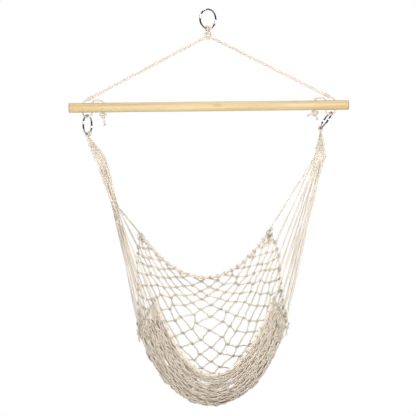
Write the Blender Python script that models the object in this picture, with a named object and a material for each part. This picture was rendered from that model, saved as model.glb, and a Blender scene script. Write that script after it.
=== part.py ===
"""Rope hammock chair: a chrome hanging ring, a rope bridle, a wooden spreader bar, two chrome side rings, two fans of clew cords and a knotted cotton net seat.

Metres, Z up, X along the spreader bar, the back of the seat towards +Y. The origin is the point inside the top of the hanging ring that bears on the hook.
"""

import math

import bmesh
import bpy
import numpy as np
from mathutils import Matrix, Vector

MM = 0.001

# ---------------------------------------------------------------- dimensions, mm
RING_R = 27.5  # centreline radius of all three rings
RING_WIRE = 2.5
HANG_CENTRE = (0.0, 0.0, -25.0)
HANG_TURN = 36.0  # degrees that the hanging ring's plane is turned from X about Z

WRAP_INNER, WRAP_OUTER, WRAP_HALF = 2.9, 4.6, 9.5
LOOP_ROPE, LOOP_AT = 1.7, 3.3
GATHER_CENTRE_Z, GATHER_HALF = -73.0, (11.0, 7.5, 13.0)

LEG_R = 4.6
LEG_TOP = (15.0, -81.0)
LEG_END = (331.0, -243.6)
SLEEVE_R = 5.3
SLEEVE_END_X = 346.0

BAR_LENGTH, BAR_R, BAR_Z = 800.0, 14.0, -274.5
BAR_ROUND = 4.0
HOLE_A, HOLE_B, HOLE_C = 360.0, 333.0, 302.0
HOLE_R = 4.5

HANGER_R = 3.0
HANGER_BEND = 9.0
HOOP_Z = -254.0
KNOT_Z, KNOT_HALF = -297.8, (10.4, 8.4, 8.7)
TAIL_R = 2.6

RING_GAP = 0.4
SIDE_TURN_LEFT, SIDE_TURN_RIGHT = 65.0, 102.0  # plane's angle from X about Z
SIDE_LEAN_RIGHT = 36.0  # the right ring leans this much in the X-Z plane
SIDE_RIDE_RIGHT = 25.0  # and hangs this far round its U from the lowest point
HITCH_INNER, HITCH_OUTER, HITCH_HALF = 2.9, 5.6, 7.0

CLEWS = 12
CLEW_R = 1.75
CLEW_PITCH = 3.95
MAT_BOTTOM_LEFT, MAT_BOTTOM_RIGHT = (-311.0, 0.0, -420.0), (316.0, 0.0, -420.0)
MAT_SHIFT_RIGHT = (6.5, 0.0, -1.0)  # the right mat hangs a little outside its ring's lowest point
WAIST_LEFT = (-272.0, -14.0, -552.0)  # the left clews run close together down to here
WAIST_PITCH, WAIST_DEPTH = 2.2, 1.85
MAT_TOP_WIDTH, MAT_THICK = 13.0, 4.6
FAN_TURN = 45.0  # plan angle of the row of clews from the Y axis

NET_THICK = 6.0
EDGE_R = 5.0
# Rows of the net from its back edge to its front edge. Each holds the left end, the lowest point and the right end, then how far the row is bent between a parabola (0) and a half ellipse (90).
NET_ROWS = (
    ((-196, 66, -636), (-10, 50, -763), (173, 66, -629), 25),
    ((-204, 64, -702), (-6, 126, -838), (196, 64, -692), 30),
    ((-205, 42, -776), (-6, 150, -935), (201, 42, -766), 38),
    ((-202, 2, -848), (-4, 90, -1040), (209, 2, -838), 52),
    ((-202, -72, -898), (-1, -54, -1124), (216, -72, -888), 66),
    ((-156, -170, -824), (8, -218, -1036), (181, -170, -824), 18),
)
NET_SHIFT = (-3.3, 1.4, 0.0)  # brings the seat's centre of mass under its hinge
NET_SPLIT = (0.47, 0.80)
NET_SEAM = 0.004  # share of v left open between two panels


# ---------------------------------------------------------------- helpers
def clear_scene():
    for obj in list(bpy.data.objects):
        bpy.data.objects.remove(obj, do_unlink=True)


def material(name, colour, metallic=0.0, roughness=0.6):
    mat = bpy.data.materials.new(name)
    mat.use_nodes = True
    shader = mat.node_tree.nodes["Principled BSDF"]
    shader.inputs["Base Color"].default_value = (*colour, 1.0)
    shader.inputs["Metallic"].default_value = metallic
    shader.inputs["Roughness"].default_value = roughness
    mat.diffuse_color = (*colour, 1.0)
    return mat


def link(obj):
    bpy.context.scene.collection.objects.link(obj)
    return obj


def mesh_object(name, points, faces, mat, smooth=True, origin=(0, 0, 0)):
    """A closed mesh from points in mm, with its object origin at `origin`."""
    origin = np.array(origin, float)
    data = bpy.data.meshes.new(name)
    data.from_pydata(
        [tuple((np.array(p, float) - origin) * MM) for p in points],
        [],
        [tuple(f) for f in faces],
    )
    bm = bmesh.new()
    bm.from_mesh(data)
    bmesh.ops.recalc_face_normals(bm, faces=bm.faces)
    bm.to_mesh(data)
    bm.free()
    for polygon in data.polygons:
        polygon.use_smooth = smooth
    data.materials.append(mat)
    obj = link(bpy.data.objects.new(name, data))
    obj.location = Vector(origin * MM)
    return obj


def tube(name, points, radius, mat, radii=None, resolution=2):
    """A capped round tube along points in mm."""
    data = bpy.data.curves.new(name, "CURVE")
    data.dimensions = "3D"
    data.bevel_depth = radius * MM
    data.bevel_resolution = resolution
    data.use_fill_caps = True
    data.resolution_u = 1
    spline = data.splines.new("POLY")
    spline.points.add(len(points) - 1)
    for i, p in enumerate(points):
        spline.points[i].co = (p[0] * MM, p[1] * MM, p[2] * MM, 1.0)
        if radii is not None:
            spline.points[i].radius = radii[i] / radius
    spline.use_smooth = True
    data.materials.append(mat)
    return link(bpy.data.objects.new(name, data))


def cubic(knots, values, at):
    """Natural cubic spline through (knots, values), sampled at `at`."""
    knots = np.asarray(knots, float)
    values = np.asarray(values, float)
    n = len(knots)
    h = np.diff(knots)
    matrix = np.zeros((n, n))
    right = np.zeros((n, values.shape[1]))
    matrix[0, 0] = matrix[-1, -1] = 1.0
    for i in range(1, n - 1):
        matrix[i, i - 1] = h[i - 1]
        matrix[i, i] = 2 * (h[i - 1] + h[i])
        matrix[i, i + 1] = h[i]
        right[i] = 6 * (
            (values[i + 1] - values[i]) / h[i] - (values[i] - values[i - 1]) / h[i - 1]
        )
    second = np.linalg.solve(matrix, right)
    at = np.atleast_1d(np.asarray(at, float))
    k = np.clip(np.searchsorted(knots, at) - 1, 0, n - 2)
    a = ((knots[k + 1] - at) / h[k])[:, None]
    b = ((at - knots[k]) / h[k])[:, None]
    hk = h[k][:, None]
    return (
        a * values[k]
        + b * values[k + 1]
        + ((a**3 - a) * second[k] + (b**3 - b) * second[k + 1]) * hk**2 / 6
    )


def evenly(points, count):
    """`count` points spaced evenly along a polyline."""
    points = np.asarray(points, float)
    step = np.linalg.norm(np.diff(points, axis=0), axis=1)
    length = np.concatenate([[0.0], np.cumsum(step)])
    at = np.linspace(0.0, length[-1], count)
    return np.stack([np.interp(at, length, points[:, k]) for k in range(3)], axis=1)


def path_length(points):
    return float(np.linalg.norm(np.diff(np.asarray(points), axis=0), axis=1).sum())


# ---------------------------------------------------------------- net surface
def net_knots():
    centres = np.array([row[1] for row in NET_ROWS], float)
    step = np.linalg.norm(np.diff(centres, axis=0), axis=1)
    return np.concatenate([[0.0], np.cumsum(step)]) / step.sum()


def net_rows(v):
    """Left ends, lowest points, right ends and bends of the rows at v."""
    values = np.array([[*row[0], *row[1], *row[2], row[3]] for row in NET_ROWS], float)
    out = cubic(net_knots(), values, v)
    return out[:, 0:3], out[:, 3:6], out[:, 6:9], np.radians(np.clip(out[:, 9], 8, 75))


def net_points(u, v):
    """Points on the net's middle surface for u in -1..1 (left to right) and v in 0..1 (back to front)."""
    u = np.atleast_1d(np.asarray(u, float))
    left, low, right, bend = net_rows(np.broadcast_to(v, u.shape))
    end = np.where((u < 0)[:, None], left, right)
    a = np.abs(u)
    across = np.sin(a * bend) / np.sin(bend)
    up = (1 - np.cos(a * bend)) / (1 - np.cos(bend))
    deep = 1 - (1 - a**2) ** 1.15
    out = np.empty((len(u), 3))
    out[:, 0] = low[:, 0] + (end[:, 0] - low[:, 0]) * across
    out[:, 1] = low[:, 1] + (end[:, 1] - low[:, 1]) * deep
    out[:, 2] = low[:, 2] + (end[:, 2] - low[:, 2]) * up
    return out + np.array(NET_SHIFT)


def net_column(u, first, last, count, clear=0.0):
    """`count` points down the net at u between two shares of v, kept `clear` mm away from an edge rope that lies along v = 0 or v = 1."""
    v = np.linspace(first, last, 241)
    line = net_points(np.full(241, u), v)
    keep = np.ones(241, bool)
    for edge in (0.0, 1.0):
        if edge in (first, last):
            rope = net_points(np.linspace(-1.0, 1.0, 401), np.full(401, edge))
            gap = np.linalg.norm(line[:, None] - rope[None], axis=2).min(axis=1)
            keep &= gap > clear
    line = line[keep]
    return evenly(line, count)


def net_shell(name, first, last, across, along, mat, clear=0.0):
    """A closed shell NET_THICK thick on the net surface between two shares of v."""
    us = np.linspace(-1.0, 1.0, across)
    grid = np.array(
        [net_column(u, first, last, along, clear) for u in us]
    )
    du = np.gradient(grid, axis=0)
    dv = np.gradient(grid, axis=1)
    normal = np.cross(du, dv)
    normal /= np.linalg.norm(normal, axis=2, keepdims=True)
    sides = [grid + normal * NET_THICK / 2, grid - normal * NET_THICK / 2]
    points = [p for side in sides for p in side.reshape(-1, 3)]
    size = across * along

    def at(side, i, j):
        return side * size + i * along + j

    faces = []
    for i in range(across - 1):
        for j in range(along - 1):
            faces.append((at(0, i, j), at(0, i + 1, j), at(0, i + 1, j + 1), at(0, i, j + 1)))
            faces.append((at(1, i, j), at(1, i, j + 1), at(1, i + 1, j + 1), at(1, i + 1, j)))
    for i in range(across - 1):
        for j in (0, along - 1):
            faces.append((at(0, i, j), at(1, i, j), at(1, i + 1, j), at(0, i + 1, j)))
    for j in range(along - 1):
        for i in (0, across - 1):
            faces.append((at(0, i, j), at(0, i, j + 1), at(1, i, j + 1), at(1, i, j)))
    return mesh_object(name, points, faces, mat)


# ---------------------------------------------------------------- rings and sleeves
def frame_of(tangent, radial):
    """Columns: the ring's direction at its lowest point, its normal, and the way from its centre to its highest point."""
    tangent = Vector(tangent).normalized()
    radial = Vector(radial).normalized()
    return Matrix((tangent, radial.cross(tangent), radial)).transposed()


def ring(name, centre, frame, mat, major=40, minor=10):
    points, faces = [], []
    for i in range(major):
        a = 2 * math.pi * i / major
        for j in range(minor):
            b = 2 * math.pi * j / minor
            r = RING_R + RING_WIRE * math.cos(b)
            points.append((r * math.sin(a), RING_WIRE * math.sin(b), r * math.cos(a)))
    for i in range(major):
        for j in range(minor):
            k, m = (i + 1) % major, (j + 1) % minor
            faces.append(
                (i * minor + j, k * minor + j, k * minor + m, i * minor + m)
            )
    obj = mesh_object(name, points, faces, mat)
    obj.matrix_world = Matrix.Translation(Vector(centre) * MM) @ frame.to_4x4()
    return obj


def sleeve(name, centre, frame, inner, outer, half, mat, steps=7, sides=14):
    """A bored sleeve round the lowest arc of a ring."""
    reach = half / RING_R
    points, faces = [], []
    for i in range(steps):
        a = math.pi - reach + 2 * reach * i / (steps - 1)
        for radius in (outer, inner):
            for j in range(sides):
                b = 2 * math.pi * j / sides
                r = RING_R + radius * math.cos(b)
                points.append((r * math.sin(a), radius * math.sin(b), r * math.cos(a)))

    def at(i, layer, j):
        return i * 2 * sides + layer * sides + j % sides

    for i in range(steps - 1):
        for j in range(sides):
            for layer in (0, 1):
                faces.append(
                    (at(i, layer, j), at(i + 1, layer, j), at(i + 1, layer, j + 1), at(i, layer, j + 1))
                )
    for i in (0, steps - 1):
        for j in range(sides):
            faces.append((at(i, 0, j), at(i, 0, j + 1), at(i, 1, j + 1), at(i, 1, j)))
    obj = mesh_object(name, points, faces, mat)
    obj.matrix_world = Matrix.Translation(Vector(centre) * MM) @ frame.to_4x4()
    return obj


def ellipsoid(name, centre, half, mat, rows=12, sides=20, origin=None):
    origin = centre if origin is None else origin
    points = [(centre[0], centre[1], centre[2] + half[2])]
    for i in range(1, rows):
        a = math.pi * i / rows
        for j in range(sides):
            b = 2 * math.pi * j / sides
            points.append(
                (
                    centre[0] + half[0] * math.sin(a) * math.cos(b),
                    centre[1] + half[1] * math.sin(a) * math.sin(b),
                    centre[2] + half[2] * math.cos(a),
                )
            )
    points.append((centre[0], centre[1], centre[2] - half[2]))
    last = len(points) - 1
    faces = []
    for j in range(sides):
        k = (j + 1) % sides
        faces.append((0, 1 + j, 1 + k))
        faces.append((last, 1 + (rows - 2) * sides + k, 1 + (rows - 2) * sides + j))
    for i in range(rows - 2):
        for j in range(sides):
            k = (j + 1) % sides
            a, b = 1 + i * sides, 1 + (i + 1) * sides
            faces.append((a + j, b + j, b + k, a + k))
    return mesh_object(name, points, faces, mat, origin=origin)


def cylinder_between(name, start, end, radius, mat, sides=16):
    start, end = Vector(start), Vector(end)
    along = (end - start).normalized()
    side = along.cross(Vector((0, 1, 0))).normalized()
    up = along.cross(side)
    points, faces = [], []
    for p in (start, end):
        for j in range(sides):
            b = 2 * math.pi * j / sides
            points.append(tuple(p + radius * (side * math.cos(b) + up * math.sin(b))))
    for j in range(sides):
        k = (j + 1) % sides
        faces.append((j, k, sides + k, sides + j))
    faces.append(tuple(range(sides)))
    faces.append(tuple(range(sides, 2 * sides)))
    return mesh_object(name, points, faces, mat)


def boolean(obj, tool, operation):
    modifier = obj.modifiers.new(tool.name, "BOOLEAN")
    modifier.operation = operation
    modifier.solver = "EXACT"
    modifier.object = tool
    tool.hide_render = True
    tool.display_type = "WIRE"


# ---------------------------------------------------------------- build
clear_scene()
COTTON = material("cotton_rope", (0.82, 0.74, 0.60), 0.0, 0.85)
WOOD = material("pale_wood", (0.79, 0.62, 0.36), 0.0, 0.5)
CHROME = material("chrome", (0.80, 0.81, 0.83), 1.0, 0.12)

# The hanging ring and the rope wrap on its lowest arc.
turn = math.radians(HANG_TURN)
hang_frame = frame_of((math.cos(turn), math.sin(turn), 0), (0, 0, 1))
hang_tangent = hang_frame.col[0]
ring("hanging_ring", HANG_CENTRE, hang_frame, CHROME)
sleeve("ring_wrap", HANG_CENTRE, hang_frame, WRAP_INNER, WRAP_OUTER, WRAP_HALF, COTTON)

# The gathered knot: two rope loops over the wrap, a bound body and two shoulders.
wire_low = Vector(HANG_CENTRE) - Vector((0, 0, RING_R))
leg_way = Vector((LEG_END[0] - LEG_TOP[0], 0, LEG_END[1] - LEG_TOP[1])).normalized()
gather = ellipsoid(
    "bridle_gather", (0, 0, GATHER_CENTRE_Z), GATHER_HALF, COTTON, origin=tuple(wire_low)
)
loop_major = WRAP_OUTER + RING_GAP + LOOP_ROPE
for number, side in enumerate((-1, 1), 1):
    points, faces = [], []
    loop_side = hang_frame.col[1]
    for i in range(24):
        a = 2 * math.pi * i / 24
        out = loop_side * math.sin(a) + Vector((0, 0, 1)) * math.cos(a)
        for j in range(10):
            b = 2 * math.pi * j / 10
            points.append(
                tuple(
                    wire_low
                    + hang_tangent * (side * LOOP_AT + LOOP_ROPE * math.sin(b))
                    + out * (loop_major + LOOP_ROPE * math.cos(b))
                )
            )
    for i in range(24):
        for j in range(10):
            k, m = (i + 1) % 24, (j + 1) % 10
            faces.append((i * 10 + j, k * 10 + j, k * 10 + m, i * 10 + m))
    boolean(gather, mesh_object(f"loop_{number}", points, faces, COTTON), "UNION")
for number, side in enumerate((-1, 1), 1):
    start = Vector((side * LEG_TOP[0], 0, LEG_TOP[1])) - 10 * Vector(
        (side * leg_way.x, 0, leg_way.z)
    )
    end = Vector((side * LEG_TOP[0], 0, LEG_TOP[1])) - 0.35 * Vector(
        (side * leg_way.x, 0, leg_way.z)
    )
    boolean(
        gather,
        cylinder_between(f"shoulder_{number}", tuple(start), tuple(end), LEG_R, COTTON),
        "UNION",
    )

# The bar, turned from a profile with rounded ends, and its six cord holes.
profile = [(0.0, 0.0)]
for i in range(5):
    a = math.pi / 2 * i / 4
    profile.append((BAR_ROUND * (1 - math.cos(a)), BAR_R - BAR_ROUND * (1 - math.sin(a))))
points, faces, sides = [], [], 40
half = BAR_LENGTH / 2
stations = [(-half + x, r) for x, r in profile[1:]]
stations += [(x, BAR_R) for x in (-345, -317, -200, 0, 200, 317, 345)]
stations += [(half - x, r) for x, r in reversed(profile[1:])]
for x, r in stations:
    for j in range(sides):
        b = 2 * math.pi * (j + 0.5) / sides
        points.append((x, r * math.cos(b), BAR_Z + r * math.sin(b)))
for i in range(len(stations) - 1):
    for j in range(sides):
        k = (j + 1) % sides
        faces.append(
            (i * sides + j, i * sides + k, (i + 1) * sides + k, (i + 1) * sides + j)
        )
faces.append(tuple(range(sides)))
faces.append(tuple(range((len(stations) - 1) * sides, len(stations) * sides)))
bar = mesh_object("spreader_bar", points, faces, WOOD, origin=(0, 0, BAR_Z))
for number, x in enumerate(
    (-HOLE_A, -HOLE_B, -HOLE_C, HOLE_C, HOLE_B, HOLE_A), 1
):
    drill = cylinder_between(
        f"drill_{number}",
        (x, 0, BAR_Z - BAR_R - 5),
        (x, 0, BAR_Z + BAR_R + 5),
        HOLE_R,
        WOOD,
        20,
    )
    boolean(bar, drill, "DIFFERENCE")

# Bridle legs, their sleeves, the hanger cords through the bar, stopper knots and tails.
slope = math.atan2(-(LEG_END[1] - LEG_TOP[1]), LEG_END[0] - LEG_TOP[0])
u_radius = (HOLE_A - HOLE_B) / 2
u_middle = (HOLE_A + HOLE_B) / 2
U_START_Z = -288.0
U_LOW_Z = U_START_Z - u_radius
sleeve_end = (
    SLEEVE_END_X,
    LEG_END[1] - (SLEEVE_END_X - LEG_END[0]) * math.tan(slope),
)


def hanger_path():
    """The route of one hanger cord on the +X side, in mm, as (x, z) pairs."""
    gap = 0.35
    start = (
        sleeve_end[0] + gap * math.cos(slope),
        sleeve_end[1] - gap * math.sin(slope),
    )
    bend_x = HOLE_A - HANGER_BEND * (1 - math.sin(slope))
    bend_z = start[1] - (bend_x - start[0]) * math.tan(slope)
    route = [start, ((start[0] + bend_x) / 2, (start[1] + bend_z) / 2)]
    centre = (HOLE_A - HANGER_BEND, bend_z - HANGER_BEND * math.cos(slope))
    for i in range(7):
        a = slope + (math.pi / 2 - slope) * i / 6
        route.append(
            (
                centre[0] + HANGER_BEND * math.sin(a),
                centre[1] + HANGER_BEND * math.cos(a),
            )
        )
    route.append((HOLE_A, (route[-1][1] + U_START_Z) / 2))
    for i in range(13):
        a = math.pi * i / 12
        route.append(
            (u_middle + u_radius * math.cos(a), U_START_Z - u_radius * math.sin(a))
        )
    hoop_low = HOOP_Z - HANGER_BEND
    route.append((HOLE_B, (U_START_Z + hoop_low) / 2))
    for i in range(7):
        a = math.pi / 2 * i / 6
        route.append(
            (
                HOLE_B - HANGER_BEND * (1 - math.cos(a)),
                hoop_low + HANGER_BEND * math.sin(a),
            )
        )
    route.append(((HOLE_B + HOLE_C) / 2, HOOP_Z))
    for i in range(7):
        a = math.pi / 2 * i / 6
        route.append(
            (
                HOLE_C + HANGER_BEND * (1 - math.sin(a)),
                hoop_low + HANGER_BEND * math.cos(a),
            )
        )
    route.append((HOLE_C, (hoop_low - 288.0) / 2))
    route.append((HOLE_C, -288.0))
    return route


for side, word in ((-1, "left"), (1, "right")):
    top = Vector((side * LEG_TOP[0], 0, LEG_TOP[1]))
    end = Vector((side * LEG_END[0], 0, LEG_END[1]))
    tube(f"bridle_leg_{word}", [top.lerp(end, i / 2) for i in range(3)], LEG_R, COTTON, resolution=3)
    way = Vector((side * leg_way.x, 0, leg_way.z))
    tube(
        f"bridle_sleeve_{word}",
        [end + way * 0.35, Vector((side * sleeve_end[0], 0, sleeve_end[1]))],
        SLEEVE_R,
        COTTON,
        resolution=3,
    )
    tube(
        f"hanger_cord_{word}",
        [(side * x, 0, z) for x, z in hanger_path()],
        HANGER_R,
        COTTON,
        resolution=2,
    )
    ellipsoid(f"stopper_knot_{word}", (side * HOLE_C, 0, KNOT_Z), KNOT_HALF, COTTON, 9, 16)

knot_low = KNOT_Z - KNOT_HALF[2]
tube(
    "knot_tail_left",
    [(-HOLE_C + 2.0 + 3.0 * t, -1.0 * t, knot_low - 0.5 - 19.0 * t) for t in (0, 0.33, 0.66, 1)],
    TAIL_R,
    COTTON,
)
tube(
    "knot_tail_right_inner",
    [(HOLE_C - 11.0 - 10.0 * t, -1.5 * t, KNOT_Z - 0.5 - 6.0 * t * t - 1.5 * t) for t in (0, 0.33, 0.66, 1)],
    TAIL_R - 0.4,
    COTTON,
)
tube(
    "knot_tail_right_outer",
    [(HOLE_C + 3.6 + 3.5 * t, -1.5 * t, knot_low - 0.4 - 9.0 * t) for t in (0, 0.5, 1)],
    TAIL_R - 0.4,
    COTTON,
)

# Side rings, each hung on the U of a hanger cord. The wire passes over the U inside it.
reach = HANGER_R + RING_WIRE + RING_GAP
left_turn = math.radians(SIDE_TURN_LEFT)
left_frame = frame_of((math.cos(left_turn), math.sin(left_turn), 0), (0, 0, 1))
left_centre = Vector((-u_middle, 0, U_LOW_Z + reach - RING_R))
lean = math.radians(SIDE_LEAN_RIGHT)
right_turn = math.radians(SIDE_TURN_RIGHT)
right_radial = Vector((math.sin(lean), 0, math.cos(lean)))
right_across = Vector((math.cos(right_turn), math.sin(right_turn), 0))
right_across -= right_across.dot(right_radial) * right_radial
right_frame = frame_of(right_across, right_radial)
hang_in = u_radius - reach
ride = math.radians(SIDE_RIDE_RIGHT)
right_top = Vector(
    (u_middle + hang_in * math.sin(ride), 0, U_START_Z - hang_in * math.cos(ride))
)
right_centre = right_top - right_radial * RING_R
SIDE = {
    "left": (left_centre, left_frame, -1),
    "right": (right_centre, right_frame, 1),
}
for word, (centre, frame, side) in SIDE.items():
    ring(f"side_ring_{word}", tuple(centre), frame, CHROME)
    sleeve(f"clew_hitch_{word}", tuple(centre), frame, HITCH_INNER, HITCH_OUTER, HITCH_HALF, COTTON, 5, 12)

# Woven clew mats: ribbons that widen and twist from the hitch to the row of clews.
fan = math.radians(FAN_TURN)


def fan_way(side):
    """The way along the row of clews, from its outer front to its inner back."""
    return Vector((-side * math.sin(fan), math.cos(fan), 0))


def mat_line(word):
    centre, frame, side = SIDE[word]
    down = -frame.col[2]
    top = centre + down * (RING_R + HITCH_OUTER + 1.9)
    bottom = Vector(MAT_BOTTOM_LEFT if side < 0 else MAT_BOTTOM_RIGHT)
    if side > 0:
        top += Vector(MAT_SHIFT_RIGHT)
    across = Vector(frame.col[0])
    if across.y < 0:
        across = -across
    return top, bottom, across


for word in SIDE:
    side = SIDE[word][2]
    top, bottom, across = mat_line(word)
    way = (bottom - top).normalized()
    full = (CLEWS - 1) * CLEW_PITCH + 2 * CLEW_R
    points, faces, ring_size, steps = [], [], 12, 10
    for i in range(steps):
        t = i / (steps - 1)
        middle = top.lerp(bottom, t)
        line = across.lerp(fan_way(side), t)
        line = (line - line.dot(way) * way * (1 - t)).normalized()
        through = way.cross(line).normalized()
        wide = MAT_TOP_WIDTH + (full - MAT_TOP_WIDTH) * math.sin(t * math.pi / 2)
        for j in range(ring_size):
            b = 2 * math.pi * j / ring_size
            c, s = math.cos(b), math.sin(b)
            x = wide / 2 * math.copysign(abs(c) ** 0.35, c)
            y = MAT_THICK / 2 * math.copysign(abs(s) ** 0.6, s)
            points.append(tuple(middle + line * x + through * y))
    for i in range(steps - 1):
        for j in range(ring_size):
            k = (j + 1) % ring_size
            faces.append(
                (i * ring_size + j, i * ring_size + k, (i + 1) * ring_size + k, (i + 1) * ring_size + j)
            )
    faces.append(tuple(range(ring_size)))
    faces.append(tuple(range((steps - 1) * ring_size, steps * ring_size)))
    mesh_object(f"clew_mat_{word}", points, faces, COTTON)

# Clew cords, from the mats to even steps along the net's side edges.
for word in SIDE:
    side = SIDE[word][2]
    bottom = mat_line(word)[1]
    rim = net_points(np.full(401, float(side)), np.linspace(0, 1, 401))
    ends = evenly(rim, CLEWS)
    for i in range(CLEWS):
        start = bottom + fan_way(side) * ((CLEWS - 1) / 2 - i) * CLEW_PITCH
        end = Vector(ends[i])
        waist = (start + end) / 2
        if side < 0:
            through = (Vector(WAIST_LEFT) - bottom).cross(fan_way(side)).normalized()
            waist = (
                Vector(WAIST_LEFT)
                + fan_way(side) * ((CLEWS - 1) / 2 - i) * WAIST_PITCH
                + through * WAIST_DEPTH * ((-1, 1)[i % 2] if i < 10 else 2 * i - 17)
            )
        first = start + (waist - start).normalized() * 1.7
        last = end - (end - waist).normalized() * (5.6 if i in (0, CLEWS - 1) else 3.6)
        tube(f"clew_{word}_{i + 1:02d}", [first, waist, last], CLEW_R, COTTON)

# The net's edge ropes and its three panels.
for name, v in (("back_edge_rope", 0.0), ("front_edge_rope", 1.0)):
    row = net_points(np.linspace(-0.985, 0.985, 401), np.full(401, v))
    tube(name, evenly(row, 33), EDGE_R, COTTON, resolution=2)
clear = EDGE_R + 0.8
net_shell("net_back", 0.0, NET_SPLIT[0], 25, 13, COTTON, clear)
net_shell("net_seat", NET_SPLIT[0] + NET_SEAM, NET_SPLIT[1] - NET_SEAM, 25, 11, COTTON)
net_shell("net_front", NET_SPLIT[1], 1.0, 25, 7, COTTON, clear)

# Cotton lashings tied through the net near its corners, each a knot with two tails. They lie on the outer side of the net.
POUCH = Vector((5, 10, -850))


def on_net(u, v):
    """A point of the net's middle surface and the unit normal there that points out of the pouch."""
    p = [Vector(q) for q in net_points([u, u + 0.01, u], [v, v, v + 0.01])]
    normal = (p[1] - p[0]).cross(p[2] - p[0]).normalized()
    return p[0], normal if normal.dot(p[0] - POUCH) > 0 else -normal


def lashing(name, u, v, first_tail, second_tail, knot):
    at, out = on_net(u, v)
    at = at + out * (NET_THICK / 2 + knot + 0.6)
    tails = []
    for tail in (first_tail, second_tail):
        tail = Vector(tail)
        if abs(out.y) > 0.3:
            tail.y -= max(-22.0, min(22.0, tail.dot(out) / out.y))
        tail = tail - out * tail.dot(out)
        tails.append(tail + out * 3.0)
    ahead = (tails[1] - tails[0]).normalized()
    shape = [at + tails[0], at - ahead * knot * 1.3, at, at + ahead * knot * 1.3, at + tails[1]]
    ts = np.linspace(0, 1, 13)
    line = cubic([0.0, 0.38, 0.5, 0.62, 1.0], [tuple(p) for p in shape], ts)
    radii = [1.7 + (knot - 1.7) * math.exp(-(((t - 0.5) / 0.13) ** 2)) for t in ts]
    tube(name, line, knot, COTTON, radii=radii, resolution=2)


lashing("lashing_front_left", -0.92, 0.905, (-24, 0, -7), (24, 0, 8), 5.0)
lashing("lashing_side_left", -0.95, 0.72, (-2, -12, 14), (-4, 4, -24), 4.2)
lashing("lashing_front_right", 0.93, 0.90, (-8, 0, 26), (14, 0, -22), 5.0)
lashing("lashing_side_right", 0.96, 0.70, (2, -10, 16), (4, 4, -26), 4.2)
lashing("lashing_back_right", 0.955, 0.055, (-20, 0, -10), (12, 0, 5), 4.0)


# ---------------------------------------------------------------- moving groups, each under an empty on its joint's axis
def group(name, at, parent, prefixes):
    empty = link(bpy.data.objects.new(name, None))
    empty.empty_display_size = 0.03
    empty.location = Vector(at) * MM
    bpy.context.view_layer.update()
    if parent is not None:
        empty.parent = parent
        empty.matrix_parent_inverse = parent.matrix_world.inverted()
        bpy.context.view_layer.update()
    for obj in list(bpy.data.objects):
        if obj.type != "EMPTY" and obj.parent is None and obj.name.startswith(prefixes):
            obj.parent = empty
            obj.matrix_parent_inverse = empty.matrix_world.inverted()
    return empty


bpy.context.view_layer.update()
rocking = group("axis_rocking", HANG_CENTRE, None, ("ring_wrap",))
swing = group(
    "axis_spreader",
    tuple(wire_low),
    rocking,
    ("bridle_", "spreader_", "hanger_", "stopper_", "knot_", "loop_", "shoulder_", "drill_"),
)
seat = group(
    "axis_seat",
    (0, 0, U_LOW_Z),
    swing,
    ("clew_", "back_edge", "front_edge", "net_", "lashing_"),
)
for word in SIDE:
    group(f"axis_side_ring_{word}", tuple(SIDE[word][0]), seat, (f"side_ring_{word}",))
bpy.context.view_layer.update()
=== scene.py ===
"""The looks of the rope hammock chair: laid cotton ropes, a knotted net, woven clew mats, a turned wooden bar and three polished rings."""

import math

import bpy
import numpy as np
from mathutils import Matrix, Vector


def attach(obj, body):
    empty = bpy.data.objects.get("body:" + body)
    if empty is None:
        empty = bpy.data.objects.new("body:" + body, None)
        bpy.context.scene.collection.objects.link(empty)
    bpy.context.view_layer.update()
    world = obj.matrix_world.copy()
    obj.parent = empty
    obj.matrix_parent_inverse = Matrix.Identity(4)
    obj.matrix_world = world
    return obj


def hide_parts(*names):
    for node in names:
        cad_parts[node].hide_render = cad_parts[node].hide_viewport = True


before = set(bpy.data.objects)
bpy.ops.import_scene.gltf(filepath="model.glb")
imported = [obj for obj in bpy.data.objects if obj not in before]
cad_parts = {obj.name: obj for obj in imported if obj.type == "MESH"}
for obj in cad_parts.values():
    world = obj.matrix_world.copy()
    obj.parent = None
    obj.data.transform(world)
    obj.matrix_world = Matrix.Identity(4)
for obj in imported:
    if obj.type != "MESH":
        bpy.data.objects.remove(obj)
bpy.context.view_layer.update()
MM = 0.001
RANDOM = np.random.default_rng(41)

# ---------------------------------------------------------------- dimensions, mm
RING_R, RING_WIRE = 27.5, 2.5
HANG_CENTRE = (0.0, 0.0, -25.0)
HANG_TURN = 36.0
WRAP_INNER, WRAP_OUTER, WRAP_HALF = 2.9, 4.6, 9.5
LOOP_ROPE, LOOP_AT = 1.7, 3.3
GATHER_Z, GATHER_HALF = -73.0, (11.0, 7.5, 13.0)
LEG_R = 4.6
LEG_TOP, LEG_END = (15.0, -81.0), (331.0, -243.6)
SLEEVE_R, SLEEVE_END_X = 5.3, 346.0
BAR_LENGTH, BAR_R, BAR_Z, BAR_ROUND = 800.0, 14.0, -274.5, 4.0
HOLE_A, HOLE_B, HOLE_C, HOLE_R = 360.0, 333.0, 302.0, 4.5
HANGER_R, HANGER_BEND, HOOP_Z = 3.0, 9.0, -254.0
KNOT_Z, KNOT_HALF = -297.8, (10.4, 8.4, 8.7)
TAIL_R = 2.6
RING_GAP = 0.4
SIDE_TURN_LEFT, SIDE_TURN_RIGHT = 65.0, 102.0
SIDE_LEAN_RIGHT, SIDE_RIDE_RIGHT = 36.0, 25.0
HITCH_INNER, HITCH_OUTER, HITCH_HALF = 2.9, 5.6, 7.0
CLEWS, CLEW_R, CLEW_PITCH = 12, 1.75, 3.95
MAT_BOTTOM = {"left": (-311.0, 0.0, -420.0), "right": (316.0, 0.0, -420.0)}
MAT_SHIFT_RIGHT = (6.5, 0.0, -1.0)
WAIST_LEFT, WAIST_PITCH, WAIST_DEPTH = (-272.0, -14.0, -552.0), 2.2, 1.85
MAT_TOP_WIDTH, MAT_THICK = 13.0, 4.6
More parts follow.
